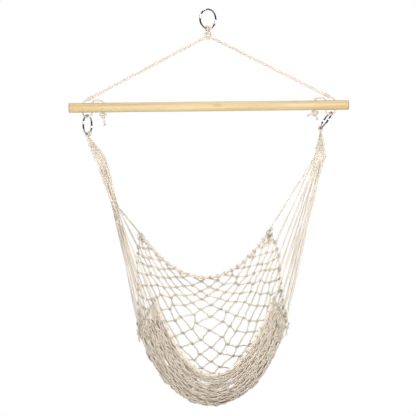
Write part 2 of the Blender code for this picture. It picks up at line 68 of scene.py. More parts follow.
FAN_TURN = 45.0
NET_THICK, EDGE_R = 6.0, 5.0
NET_ROWS = (
    ((-196, 66, -636), (-10, 50, -763), (173, 66, -629), 25),
    ((-204, 64, -702), (-6, 126, -838), (196, 64, -692), 30),
    ((-205, 42, -776), (-6, 150, -935), (201, 42, -766), 38),
    ((-202, 2, -848), (-4, 90, -1040), (209, 2, -838), 52),
    ((-202, -72, -898), (-1, -54, -1124), (216, -72, -888), 66),
    ((-156, -170, -824), (8, -218, -1036), (181, -170, -824), 18),
)
NET_SHIFT = (-3.3, 1.4, 0.0)
NET_SPLIT = (0.47, 0.80)
U_START_Z = -288.0
U_RADIUS, U_MIDDLE = (HOLE_A - HOLE_B) / 2, (HOLE_A + HOLE_B) / 2
POUCH = np.array((5.0, 10.0, -850.0))

# The net's own numbers: meshes across, cord radius, and the step between half rows for each share of the way from back to front.
MESHES = 11
CORD_R = 2.15
ROW_STEP = ((0.0, 21.0), (0.05, 20.0), (0.10, 16.0), (0.16, 17.5), (0.22, 22.5), (0.34, 24.5), (0.44, 22.0), (0.54, 13.0), (0.64, 8.6), (0.8, 7.7), (1.0, 7.4))


# ---------------------------------------------------------------- curves
def unit(v):
    v = np.asarray(v, float)
    return v / np.linalg.norm(v)


def arc(points):
    step = np.linalg.norm(np.diff(points, axis=0), axis=1)
    return np.concatenate([[0.0], np.cumsum(step)])


def cubic(knots, values, at):
    """Natural cubic spline through (knots, values), sampled at `at`."""
    knots = np.asarray(knots, float)
    values = np.asarray(values, float)
    n = len(knots)
    h = np.diff(knots)
    matrix = np.zeros((n, n))
    right = np.zeros((n, values.shape[1]))
    matrix[0, 0] = matrix[-1, -1] = 1.0
    for i in range(1, n - 1):
        matrix[i, i - 1] = h[i - 1]
        matrix[i, i] = 2 * (h[i - 1] + h[i])
        matrix[i, i + 1] = h[i]
        right[i] = 6 * (
            (values[i + 1] - values[i]) / h[i] - (values[i] - values[i - 1]) / h[i - 1]
        )
    second = np.linalg.solve(matrix, right)
    at = np.atleast_1d(np.asarray(at, float))
    k = np.clip(np.searchsorted(knots, at) - 1, 0, n - 2)
    a = ((knots[k + 1] - at) / h[k])[:, None]
    b = ((at - knots[k]) / h[k])[:, None]
    hk = h[k][:, None]
    return (
        a * values[k]
        + b * values[k + 1]
        + ((a**3 - a) * second[k] + (b**3 - b) * second[k + 1]) * hk**2 / 6
    )


def evenly(points, count):
    points = np.asarray(points, float)
    length = arc(points)
    at = np.linspace(0.0, length[-1], count)
    return np.stack([np.interp(at, length, points[:, k]) for k in range(3)], axis=1)


def stepped(points, step):
    """The polyline with even steps of about `step`."""
    return evenly(points, max(4, int(round(arc(np.asarray(points, float))[-1] / step)) + 1))


def smooth(points, step):
    """A smooth curve through the points, in even steps."""
    points = np.asarray(points, float)
    length = arc(points)
    dense = cubic(length, points, np.linspace(0, length[-1], max(20, int(length[-1] / step * 2))))
    return stepped(dense, step)


def frames(points):
    """Tangents and untwisted side vectors along a curve."""
    way = np.gradient(points, axis=0)
    way /= np.linalg.norm(way, axis=1, keepdims=True)
    side = np.empty_like(points)
    start = np.array((0.0, 1.0, 0.0)) if abs(way[0][1]) < 0.8 else np.array((1.0, 0.0, 0.0))
    for i, t in enumerate(way):
        start = start - start.dot(t) * t
        start = start / math.sqrt(start.dot(start))
        side[i] = start
    return way, side, np.cross(way, side)


# ---------------------------------------------------------------- meshes
class Bag:
    """Tubes gathered into one mesh. U runs along a tube in mm, V once round it."""

    def __init__(self):
        self.points, self.quads, self.tris, self.uv4, self.uv3 = [], [], [], [], []
        self.count = 0

    def tube(self, points, radius, sides=9, lobes=3, depth=0.17, lay=12.0, phase=0.0, radii=None, start_u=0.0):
        points = np.asarray(points, float)
        n = len(points)
        way, side, other = frames(points)
        length = arc(points)
        j = np.arange(sides)
        profile = 1.0 - depth * (0.5 + 0.5 * np.cos(2 * np.pi * lobes * j / sides))
        angle = phase + 2 * np.pi * j[None] / sides + 2 * np.pi * length[:, None] / lay
        r = radius * (np.ones(n) if radii is None else np.asarray(radii, float))
        reach = (r[:, None] * profile[None])[..., None]
        mesh = points[:, None] + reach * (
            side[:, None] * np.cos(angle)[..., None] + other[:, None] * np.sin(angle)[..., None]
        )
        self.points.append(mesh.reshape(-1, 3))
        self.points.append(points[[0, -1]])
        i = np.arange(n - 1)[:, None]
        k = (j + 1) % sides
        base = self.count
        quads = np.stack(
            [i * sides + j, i * sides + k, (i + 1) * sides + k, (i + 1) * sides + j], axis=-1
        ).reshape(-1, 4)
        self.quads.append(quads + base)
        u = start_u + length
        low, high = np.broadcast_to(u[:-1, None], (n - 1, sides)), np.broadcast_to(u[1:, None], (n - 1, sides))
        v0, v1 = np.broadcast_to(j / sides, (n - 1, sides)), np.broadcast_to((j + 1) / sides, (n - 1, sides))
        self.uv4.append(
            np.stack([low, v0, low, v1, high, v1, high, v0], axis=-1).reshape(-1, 4, 2)
        )
        first, last = base + n * sides, base + n * sides + 1
        end = base + (n - 1) * sides
        self.tris.append(np.stack([np.full(sides, first), base + k, base + j], axis=-1))
        self.tris.append(np.stack([np.full(sides, last), end + j, end + k], axis=-1))
        flat = np.zeros((sides, 3, 2))
        flat[:, 0, 1] = flat[:, 1, 1] = flat[:, 2, 1] = (j + 0.5) / sides
        self.uv3.append(flat.copy())
        flat[:, :, 0] = u[-1]
        self.uv3.append(flat)
        self.count += n * sides + 2

    def laid(self, points, radius, strands=3, lay=28.0, sides=9, phase=0.0, radii=None, swell=1.05, sub=9.0, depth=0.15):
        """A rope of strands laid round each other."""
        points = np.asarray(points, float)
        way, side, other = frames(points)
        length = arc(points)
        share = 1 + 1 / math.sin(math.pi / strands) if strands > 1 else 1
        small = radius / share
        off = (radius - small) * (np.ones(len(points)) if radii is None else np.asarray(radii, float))
        for k in range(strands):
            angle = phase + 2 * np.pi * (length / lay + k / strands)
            line = points + off[:, None] * (
                side * np.cos(angle)[:, None] + other * np.sin(angle)[:, None]
            )
            self.tube(line, small * swell, sides, 3, depth, -sub, phase + k, radii)

    def strands(self, start, way, radius, length, count, size, splay=0.5, droop=0.25, sides=5):
        """Loose yarns spreading from the end of a rope."""
        way = unit(way)
        side = unit(np.cross(way, (0.3, 1.0, 0.2)))
        other = np.cross(way, side)
        for k in range(count):
            a = 2 * math.pi * (k + RANDOM.uniform(-0.3, 0.3)) / count
            out = side * math.cos(a) + other * math.sin(a)
            rim = RANDOM.uniform(0.35, 0.8) * radius
            reach = length * RANDOM.uniform(0.65, 1.0)
            t = np.linspace(-0.15, 1, 9)[:, None]
            spread = splay * RANDOM.uniform(0.4, 1.2)
            wiggle = RANDOM.uniform(-0.12, 0.12) * reach
            line = (
                np.asarray(start, float)
                + out * (rim + spread * reach * np.clip(t, 0, 1) ** 1.6)
                + way * reach * t * (1 - 0.15 * spread)
                + np.array((0, 0, -1.0)) * droop * reach * np.clip(t, 0, 1) ** 2
                + side * wiggle * np.sin(np.clip(t, 0, 1) * 5)
            )
            self.tube(line, size, sides, 2, 0.2, 4.0, a, 1 - 0.55 * np.clip(t[:, 0], 0, 1))

    def coil(self, centre, axis, side, other, a, b, length, turns, radius, sides=7, steps=12, phase=0.0, taper=True):
        """Turns of cord round an axis: an elliptical helix with half widths a and b."""
        n = max(8, int(steps * turns)) + 1
        t = np.linspace(0, 1, n)
        angle = phase + 2 * np.pi * turns * t
        shrink = np.ones(n)
        if taper:
            shrink = 1 - 0.35 * np.exp(-t / 0.05) - 0.35 * np.exp(-(1 - t) / 0.05)
        line = (
            np.asarray(centre, float)
            + axis * (length * (t - 0.5))[:, None]
            + side * (a * shrink * np.cos(angle))[:, None]
            + other * (b * shrink * np.sin(angle))[:, None]
        )
        self.tube(line, radius, sides, 3 if sides >= 9 else 2, 0.12, 6.0)

    def make(self, name, material, body, nodes=(), slot="cotton_rope"):
        points = np.concatenate(self.points) * MM
        quads = np.concatenate(self.quads)
        tris = np.concatenate(self.tris)
        data = bpy.data.meshes.new(name)
        data.vertices.add(len(points))
        data.vertices.foreach_set("co", points.astype(np.float32).ravel())
        corners = np.concatenate([quads.ravel(), tris.ravel()]).astype(np.int32)
        data.loops.add(len(corners))
        data.loops.foreach_set("vertex_index", corners)
        starts = np.concatenate(
            [np.arange(len(quads)) * 4, len(quads) * 4 + np.arange(len(tris)) * 3]
        ).astype(np.int32)
        data.polygons.add(len(starts))
        data.polygons.foreach_set("loop_start", starts)
        data.update(calc_edges=True)
        data.validate()
        layer = data.uv_layers.new(name="UVMap")
        uv = np.concatenate(
            [np.concatenate(self.uv4).reshape(-1, 2), np.concatenate(self.uv3).reshape(-1, 2)]
        )
        layer.data.foreach_set("uv", uv.astype(np.float32).ravel())
        data.polygons.foreach_set("use_smooth", np.ones(len(starts), bool))
        data.materials.append(material)
        return place(name, data, body, nodes)


def place(name, data, body, nodes):
    obj = bpy.data.objects.new(name, data)
    bpy.context.scene.collection.objects.link(obj)
    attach(obj, body)
    if nodes:
        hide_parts(*nodes)
    return obj


# ---------------------------------------------------------------- materials
class Nodes:
    def __init__(self, name):
        self.material = bpy.data.materials.new(name)
        self.material.use_nodes = True
        self.tree = self.material.node_tree
        self.shader = self.tree.nodes["Principled BSDF"]

    def add(self, kind, **values):
        node = self.tree.nodes.new(kind)
        for key, value in values.items():
            if key in node.inputs:
                node.inputs[key].default_value = value
            else:
                setattr(node, key, value)
        return node

    def link(self, out, into):
        self.tree.links.new(out, into)

    def math(self, operation, a, b=None, clamp=False):
        node = self.tree.nodes.new("ShaderNodeMath")
        node.operation = operation
        node.use_clamp = clamp
        for socket, value in zip(node.inputs, (a, b)):
            if value is None:
                continue
            if isinstance(value, (int, float)):
                socket.default_value = value
            else:
                self.link(value, socket)
        return node.outputs[0]

    def mix(self, share, a, b):
        node = self.tree.nodes.new("ShaderNodeMix")
        node.data_type = "RGBA"
        for socket, value in ((node.inputs[0], share), (node.inputs[6], a), (node.inputs[7], b)):
            if isinstance(value, tuple):
                socket.default_value = (*value, 1.0)
            elif isinstance(value, (int, float)):
                socket.default_value = value
            else:
                self.link(value, socket)
        return node.outputs[2]

    def noise(self, vector, scale, detail=2.0, roughness=0.5, stretch=None):
        if stretch is not None:
            mapping = self.add("ShaderNodeMapping")
            mapping.inputs["Scale"].default_value = stretch
            self.link(vector, mapping.inputs["Vector"])
            vector = mapping.outputs[0]
        node = self.add("ShaderNodeTexNoise", Scale=scale, Detail=detail, Roughness=roughness)
        self.link(vector, node.inputs["Vector"])
        return node.outputs["Fac"]

    def ramp(self, value, low, high):
        """The value spread so that low..high becomes 0..1, clamped."""
        node = self.tree.nodes.new("ShaderNodeMapRange")
        node.inputs["From Min"].default_value = low
        node.inputs["From Max"].default_value = high
        self.link(value, node.inputs["Value"])
        return node.outputs[0]

    def bump(self, height, strength, distance):
        node = self.add("ShaderNodeBump", Strength=strength, Distance=distance)
        self.link(height, node.inputs["Height"])
        self.link(node.outputs[0], self.shader.inputs["Normal"])


def rope_material(name, lay, yarns, light, dark, groove_shade):
    """Natural cotton: strand grooves and fine yarns from the tube's own coordinates, painted shade between the yarns,
    in the strand valleys and where cords lie close, then fibre noise, soft patches and seed flecks.
    """
    n = Nodes(name)
    uv = n.add("ShaderNodeUVMap")
    split = n.add("ShaderNodeSeparateXYZ")
    n.link(uv.outputs[0], split.inputs[0])
    u, v = split.outputs[0], split.outputs[1]
    place_at = n.add("ShaderNodeTexCoord").outputs["Object"]
    valley = n.math("ABSOLUTE", n.math("COSINE", n.math("MULTIPLY", v, 3 * math.pi)))
    valley = n.math("POWER", valley, 7.0)
    turn = n.math("ADD", v, n.math("MULTIPLY", u, 1.0 / lay))
    yarn = n.math("SINE", n.math("MULTIPLY", turn, 2 * math.pi * yarns))
    yarn = n.math("MULTIPLY_ADD", yarn, 0.5)
    yarn.node.inputs[2].default_value = 0.5
    fibre = n.noise(place_at, 900.0, 3.0, 0.65)
    patch = n.noise(place_at, 42.0, 3.0, 0.6)
    fleck = n.ramp(n.noise(place_at, 520.0, 1.0, 0.4), 0.73, 0.80)
    tone = n.math("MULTIPLY_ADD", patch, 0.9)
    n.link(n.math("MULTIPLY", fibre, 0.5), tone.node.inputs[2])
    tone = n.ramp(tone, 0.45, 0.95)
    colour = n.mix(tone, dark, light)
    # Painted shade: the colour is darkened towards the groove shade colour between the fine yarns and in the valleys
    # between the strands.
    yarn_gap_shade = n.math("MULTIPLY", n.math("SUBTRACT", 1.0, yarn), 0.16)
    colour = n.mix(yarn_gap_shade, colour, groove_shade)
    colour = n.mix(n.math("MULTIPLY", valley, 0.62), colour, groove_shade)
    colour = n.mix(n.math("MULTIPLY", fleck, 0.35), colour, (0.36, 0.23, 0.12))
    # Painted shade: where cords lie close together the colour is mixed towards brown, standing in for the shade between
    # them.
    cord_crevice_shade = n.add("ShaderNodeAmbientOcclusion")
    cord_crevice_shade.samples = 6
    cord_crevice_shade.inputs["Distance"].default_value = 0.009
    colour = n.mix(n.ramp(cord_crevice_shade.outputs["AO"], 0.38, 0.03), colour, (0.25, 0.15, 0.06))
    n.link(colour, n.shader.inputs["Base Color"])
    rough = n.math("MULTIPLY_ADD", fibre, 0.18)
    rough.node.inputs[2].default_value = 0.78
    n.link(rough, n.shader.inputs["Roughness"])
    n.shader.inputs["Specular IOR Level"].default_value = 0.25
    n.shader.inputs["Sheen Weight"].default_value = 0.22
    n.shader.inputs["Sheen Roughness"].default_value = 0.55
    height = n.math("MULTIPLY_ADD", yarn, 0.55)
    n.link(n.math("SUBTRACT", n.math("MULTIPLY", fibre, 0.75), valley), height.node.inputs[2])
    n.bump(height, 0.75, 0.00035)
    return n.material


def wood_material():
    """A pale turned softwood dowel: long fine grain, broad growth bands, small knots, end grain rings and a worn satin finish."""
    n = Nodes("scene_pale_wood")
    at = n.add("ShaderNodeTexCoord").outputs["Object"]
    split = n.add("ShaderNodeSeparateXYZ")
    n.link(at, split.inputs[0])
    x, y, z = split.outputs
    wobble = n.noise(at, 1.0, 2.0, 0.5, (3.2, 14.0, 14.0))
    bands = n.noise(at, 1.0, 3.0, 0.55, (2.2, 230.0, 120.0))
    grain = n.noise(at, 1.0, 4.0, 0.7, (16.0, 1500.0, 1500.0))
    pores = n.noise(at, 1.0, 2.0, 0.6, (90.0, 3200.0, 3200.0))
    colour = n.mix(n.ramp(bands, 0.36, 0.66), (0.60, 0.49, 0.305), (0.485, 0.36, 0.175))
    colour = n.mix(n.math("MULTIPLY", n.ramp(grain, 0.5, 0.75), 0.42), colour, (0.42, 0.27, 0.11))
    colour = n.mix(n.math("MULTIPLY", n.ramp(wobble, 0.45, 0.75), 0.28), colour, (0.66, 0.57, 0.40))
    knots = n.tree.nodes.new("ShaderNodeTexVoronoi")
    knots.inputs["Scale"].default_value = 1.0
    mapping = n.add("ShaderNodeMapping")
    mapping.inputs["Scale"].default_value = (9.0, 26.0, 26.0)
    n.link(at, mapping.inputs["Vector"])
    n.link(mapping.outputs[0], knots.inputs["Vector"])
    knot = n.ramp(knots.outputs["Distance"], 0.16, 0.03)
    colour = n.mix(n.math("MULTIPLY", knot, 0.55), colour, (0.36, 0.19, 0.07))
    # A little browner towards the two ends.
    browner_toward_ends = n.math("MULTIPLY", n.ramp(n.math("ABSOLUTE", x), 0.27, 0.39), 0.42)
    colour = n.mix(browner_toward_ends, colour, (0.45, 0.31, 0.13))
    # End grain: rings round a pith that lies off the middle, only on the two end faces.
    dz = n.math("ADD", z, -BAR_Z * MM + 0.006)
    dy = n.math("ADD", y, 0.004)
    radial = n.math("SQRT", n.math("ADD", n.math("MULTIPLY", dy, dy), n.math("MULTIPLY", dz, dz)))
    rings = n.math("SINE", n.math("MULTIPLY_ADD", radial, 4200.0))
    n.link(n.math("MULTIPLY", wobble, 9.0), rings.node.inputs[0].links[0].from_node.inputs[2])
    end = n.ramp(n.math("ABSOLUTE", x), 0.3982, 0.3992)
    ringed = n.mix(n.ramp(rings, -0.6, 0.9), (0.60, 0.44, 0.22), (0.42, 0.27, 0.11))
    colour = n.mix(n.math("MULTIPLY", end, 0.85), colour, ringed)
    # Rope-worn, slightly darker wood round the cord holes.
    near = None
    for hole in (HOLE_A, HOLE_B, HOLE_C):
        gap = n.math("ABSOLUTE", n.math("SUBTRACT", n.math("ABSOLUTE", x), hole * MM))
        this = n.ramp(gap, 0.009, 0.004)
        near = this if near is None else n.math("MAXIMUM", near, this)
    side_on = n.ramp(n.math("ABSOLUTE", y), 0.009, 0.005)
    worn = n.math("MULTIPLY", near, side_on)
    colour = n.mix(n.math("MULTIPLY", worn, 0.4), colour, (0.42, 0.27, 0.12))
    n.link(colour, n.shader.inputs["Base Color"])
    rough = n.math("MULTIPLY_ADD", grain, 0.26)
    rough.node.inputs[2].default_value = 0.36
    n.link(rough, n.shader.inputs["Roughness"])
    n.shader.inputs["Specular IOR Level"].default_value = 0.42
    n.shader.inputs["Coat Weight"].default_value = 0.12
    n.shader.inputs["Coat Roughness"].default_value = 0.3
    height = n.math("MULTIPLY_ADD", pores, 0.6)
    n.link(n.math("MULTIPLY", grain, -0.7), height.node.inputs[2])
    n.bump(height, 0.35, 0.0002)
    return n.material


def chrome_material():
    """Polished nickel-chrome wire: hairline polish marks, faint water spots and a few rubbed patches."""
    n = Nodes("scene_chrome")
    at = n.add("ShaderNodeTexCoord").outputs["Object"]
    smear = n.noise(at, 95.0, 3.0, 0.6)
    lines = n.noise(at, 2600.0, 2.0, 0.5)
    spots = n.ramp(n.noise(at, 600.0, 1.0, 0.4), 0.66, 0.74)
    rough = n.math("MULTIPLY_ADD", n.ramp(smear, 0.42, 0.72), 0.11)
    n.link(n.math("MULTIPLY_ADD", spots, 0.12), rough.node.inputs[2])
    rough.node.inputs[2].links[0].from_node.inputs[2].default_value = 0.055
    n.link(rough, n.shader.inputs["Roughness"])
    colour = n.mix(n.ramp(smear, 0.4, 0.7), (0.62, 0.62, 0.63), (0.50, 0.49, 0.47))
    n.link(colour, n.shader.inputs["Base Color"])
    n.shader.inputs["Metallic"].default_value = 1.0
    n.bump(lines, 0.06, 0.00005)
    return n.material


# The third colour of each cotton below is painted shade for its grooves and the gaps between its yarns.
LIGHT, DARK, GROOVE_SHADE = (0.82, 0.775, 0.71), (0.74, 0.675, 0.585), (0.44, 0.335, 0.225)
ROPE = rope_material("scene_cotton_laid", 9.0, 7, LIGHT, DARK, GROOVE_SHADE)
CORD = rope_material("scene_cotton_cord", 12.0, 8, (0.925, 0.87, 0.785), (0.83, 0.755, 0.64), (0.46, 0.34, 0.21))
YARN = rope_material("scene_cotton_yarn", 5.0, 5, (0.90, 0.845, 0.755), (0.80, 0.72, 0.61), (0.48, 0.36, 0.23))
# A darker copy of the net cord's cotton, painted as in shade, for the folded layer behind the front.
FOLD_SHADED = rope_material("scene_cotton_folds_shaded", 12.0, 8, (0.66, 0.54, 0.395), (0.52, 0.405, 0.27), (0.30, 0.205, 0.115))
WOOD = wood_material()
CHROME = chrome_material()


# ---------------------------------------------------------------- rings
def frame_of(tangent, radial):
    tangent, radial = unit(tangent), unit(radial)
    return np.stack([tangent, np.cross(radial, tangent), radial], axis=1)


turn = math.radians(HANG_TURN)
HANG_FRAME = frame_of((math.cos(turn), math.sin(turn), 0), (0, 0, 1))
left_turn = math.radians(SIDE_TURN_LEFT)
LEFT_FRAME = frame_of((math.cos(left_turn), math.sin(left_turn), 0), (0, 0, 1))
reach = HANGER_R + RING_WIRE + RING_GAP
U_LOW_Z = U_START_Z - U_RADIUS
LEFT_CENTRE = np.array((-U_MIDDLE, 0, U_LOW_Z + reach - RING_R))
lean = math.radians(SIDE_LEAN_RIGHT)
right_turn = math.radians(SIDE_TURN_RIGHT)
right_radial = np.array((math.sin(lean), 0, math.cos(lean)))
right_across = np.array((math.cos(right_turn), math.sin(right_turn), 0))
right_across = right_across - right_across.dot(right_radial) * right_radial
RIGHT_FRAME = frame_of(right_across, right_radial)
ride_at = math.radians(SIDE_RIDE_RIGHT)
hang_in = U_RADIUS - reach
right_top = np.array(
    (U_MIDDLE + hang_in * math.sin(ride_at), 0, U_START_Z - hang_in * math.cos(ride_at))
)
RIGHT_CENTRE = right_top - right_radial * RING_R
SIDE = {"left": (LEFT_CENTRE, LEFT_FRAME, -1), "right": (RIGHT_CENTRE, RIGHT_FRAME, 1)}


def ring(name, centre, turned, weld):
    """A welded wire ring: a torus with a low collar where the wire's ends meet."""
    major, minor = 144, 28
    a = 2 * np.pi * np.arange(major) / major
    b = 2 * np.pi * np.arange(minor) / minor
    off = (a - weld + np.pi) % (2 * np.pi) - np.pi
    wire = RING_WIRE * (1 + 0.045 * np.exp(-((off / 0.045) ** 2)) - 0.03 * np.exp(-((off / 0.012) ** 2)))
    r = RING_R + wire[:, None] * np.cos(b)
    local = np.stack(
        [r * np.sin(a)[:, None], wire[:, None] * np.sin(b), r * np.cos(a)[:, None]], axis=-1
    )
    points = (local.reshape(-1, 3) @ turned.T + centre) * MM
    faces = [
        (i * minor + j, i * minor + (j + 1) % minor, ((i + 1) % major) * minor + (j + 1) % minor, ((i + 1) % major) * minor + j)
        for i in range(major)
        for j in range(minor)
    ]
    data = bpy.data.meshes.new(name)
    data.from_pydata(points.tolist(), [], faces)
    data.polygons.foreach_set("use_smooth", np.ones(len(faces), bool))
    data.update()
    data.materials.append(CHROME)
    return place(name + "_polished", data, name, (name,))


ring("hanging_ring", np.array(HANG_CENTRE), HANG_FRAME, 2.2)
ring("side_ring_left", LEFT_CENTRE, LEFT_FRAME, 1.2)
ring("side_ring_right", RIGHT_CENTRE, RIGHT_FRAME, 5.0)


def on_wire(centre, turned, angle, out, round_angle):
    """Points at `out` mm from the wire's centreline, `angle` round the ring."""
    r = RING_R + out * np.cos(round_angle)
    local = np.stack([r * np.sin(angle), out * np.sin(round_angle) * np.ones_like(angle), r * np.cos(angle)], axis=-1)
    return local @ turned.T + centre


def ring_coil(bag, centre, turned, half, turns, out, radius, sides, phase=0.0, along=0.0):
    """Cord wound round a ring's wire, `half` mm each way from a place `along` mm from the ring's lowest point."""
    n = int(turns * 26)
    t = np.linspace(0, 1, n)
    angle = math.pi + along / RING_R - half / RING_R + 2 * half / RING_R * t
    line = on_wire(centre, turned, angle, np.full(n, out), phase + 2 * np.pi * turns * t)
    bag.tube(line, radius, sides, 3, 0.13, 4.5)


# The whipping on the hanging ring.
bag = Bag()
small = (WRAP_OUTER - WRAP_INNER) / 2
ring_coil(bag, np.array(HANG_CENTRE), HANG_FRAME, WRAP_HALF - small - 0.4, 10.5, WRAP_INNER + small * 0.9, small * 0.93, 9)
bag.make("ring_wrap_whipping", YARN, "ring_wrap", ("ring_wrap",))

# ---------------------------------------------------------------- the gathered knot under the hanging ring
wire_low = np.array(HANG_CENTRE) - np.array((0, 0, RING_R))
hang_tangent, hang_side = HANG_FRAME[:, 0], HANG_FRAME[:, 1]
leg_way = unit((LEG_END[0] - LEG_TOP[0], 0, LEG_END[1] - LEG_TOP[1]))
bag = Bag()
loop_major = WRAP_OUTER + RING_GAP + LOOP_ROPE
for at in (-LOOP_AT - 1.5, -0.2, LOOP_AT + 1.3):
    a = np.linspace(-0.25, 2 * np.pi + 0.25, 60)
    squeeze = np.where(np.cos(a) < -0.2, 1 + 0.2 * (np.cos(a) + 0.2), 1.0)
    line = (
        wire_low
        + hang_tangent * (at + 0.35 * np.sin(a))[:, None] * squeeze[:, None]
        + (hang_side * np.sin(a)[:, None] + np.array((0, 0, 1.0)) * np.cos(a)[:, None]) * loop_major
    )
    bag.tube(line[3:-3], LOOP_ROPE * 0.93, 12, 3, 0.14, 10.0, at)


def on_gather(angle, z, lift):
    """A point on the gather's body: angle from +X about Z, height z from its middle."""
    h = np.sqrt(np.clip(1 - (z / (GATHER_HALF[2] + 0.5)) ** 2, 0.05, 1))
    return np.stack(
        [
            (GATHER_HALF[0] * h - LOOP_ROPE + lift) * np.cos(angle),
            (GATHER_HALF[1] * h - LOOP_ROPE + lift) * np.sin(angle),
            GATHER_Z + z,
        ],
        axis=-1,
    )


# Its core of gathered rope, hidden but for the gaps.
for k in range(7):
    a = 2 * math.pi * k / 7
    bag.tube(
        smooth(
            [
                (3.0 * math.cos(a), 2.0 * math.sin(a), GATHER_Z + 11.2),
                (5.4 * math.cos(a), 3.2 * math.sin(a), GATHER_Z + 4),
                (6.4 * math.cos(a + 0.3), 3.4 * math.sin(a + 0.3), GATHER_Z - 3),
                (3.2 * math.cos(a + 0.5), 2.0 * math.sin(a + 0.5), GATHER_Z - 9.5),
            ],
            0.9,
        ),
        2.7, 12, 3, 0.15, 9.0, a,
    )
# Strands that cross over its front and its back on their way to the legs.
for face in (-1, 1):
    for side in (-1, 1):
        for number, (shift, depth) in enumerate(((0.0, 0.0), (3.3, 0.5), (6.4, 0.1))):
            t = np.linspace(0, 1, 13)
            z = 9.8 - shift * 0.55 - (15.8 - shift * 0.6) * t
            angle = face * math.pi / 2 + face * side * (0.95 - shift * 0.07 - 2.25 * t)
            weave = 0.9 * np.cos((t * 3.0 + number + (side > 0)) * math.pi)
            line = on_gather(angle, z, 0.55 + weave * 0.75 - depth * 0.4)
            out = np.array((-side * LEG_TOP[0], 0, LEG_TOP[1]))
            leg_side = np.array((-side * leg_way[0], 0, leg_way[2]))
            up = unit(np.cross(leg_side, (0, 1, 0)))
            turned = face * (1.9 - number * 1.4)
            end = out + np.array((0, 1.0, 0)) * turned + up * (2.1 - 1.5 * number)
            line = np.concatenate([line[:-2], [end - leg_side * 3.0], [end + leg_side * 3.5]])
            bag.tube(smooth(line, 0.8), LOOP_ROPE * (1.02 - 0.06 * number), 12, 3, 0.17, 9.5, number + side)
# The binding round its neck and the two bights that close it at the bottom.
for z, lift in ((8.3, 0.2), (5.3, 0.9)):
    a = np.linspace(0, 2 * np.pi, 64)
    line = on_gather(a, np.full(64, z) + 0.9 * np.sin(a * 1.0 + z), np.full(64, lift + 0.55))
    bag.tube(line, 1.45, 12, 3, 0.17, 7.5, z)
for side in (-1, 1):
    for face in (-1, 1):
        line = smooth(
            [
                (side * 1.4, face * 3.6, GATHER_Z + 3.5),
                (side * 2.0, face * 5.9, GATHER_Z - 1.5),
                (side * 2.3, face * 5.3, GATHER_Z - 7.0),
                (side * 2.9, face * 2.2, GATHER_Z - 10.9),
                (side * 3.6, face * 0.2, GATHER_Z - 10.4),
            ],
            0.8,
        )
        bag.tube(line, 1.75, 12, 3, 0.17, 9.0, side)
# The last of the strands run on along the start of each leg.
for side in (-1, 1):
    way = np.array((side * leg_way[0], 0, leg_way[2]))
    up = unit(np.cross(way, (0, 1, 0)))
    line = [np.array((side * LEG_TOP[0], 0, LEG_TOP[1])) + way * d for d in (-8, -4, -0.4)]
    bag.laid(smooth(line, 0.9), LEG_R * 0.96, 3, 44.0, 12)
bag.make("bridle_gather_knot", ROPE, "spreader", ("bridle_gather",))

# ---------------------------------------------------------------- bridle legs, sleeves and hanger cords
slope = math.atan2(-(LEG_END[1] - LEG_TOP[1]), LEG_END[0] - LEG_TOP[0])
SLEEVE_END = (SLEEVE_END_X, LEG_END[1] - (SLEEVE_END_X - LEG_END[0]) * math.tan(slope))


def hanger_path():
    gap = 0.35
    start = (SLEEVE_END[0] + gap * math.cos(slope), SLEEVE_END[1] - gap * math.sin(slope))
    bend_x = HOLE_A - HANGER_BEND * (1 - math.sin(slope))
    bend_z = start[1] - (bend_x - start[0]) * math.tan(slope)
    route = [start, ((start[0] + bend_x) / 2, (start[1] + bend_z) / 2)]
    centre = (HOLE_A - HANGER_BEND, bend_z - HANGER_BEND * math.cos(slope))
    for i in range(7):
        a = slope + (math.pi / 2 - slope) * i / 6
        route.append((centre[0] + HANGER_BEND * math.sin(a), centre[1] + HANGER_BEND * math.cos(a)))
    route.append((HOLE_A, (route[-1][1] + U_START_Z) / 2))
    for i in range(13):
        a = math.pi * i / 12
        route.append((U_MIDDLE + U_RADIUS * math.cos(a), U_START_Z - U_RADIUS * math.sin(a)))
    low = HOOP_Z - HANGER_BEND
    route.append((HOLE_B, (U_START_Z + low) / 2))
    for i in range(7):
        a = math.pi / 2 * i / 6
        route.append((HOLE_B - HANGER_BEND * (1 - math.cos(a)), low + HANGER_BEND * math.sin(a)))
    route.append(((HOLE_B + HOLE_C) / 2, HOOP_Z))
    for i in range(7):
        a = math.pi / 2 * i / 6
        route.append((HOLE_C + HANGER_BEND * (1 - math.sin(a)), low + HANGER_BEND * math.cos(a)))
    route.append((HOLE_C, (low - 288.0) / 2))
    route.append((HOLE_C, -288.0))
    return route


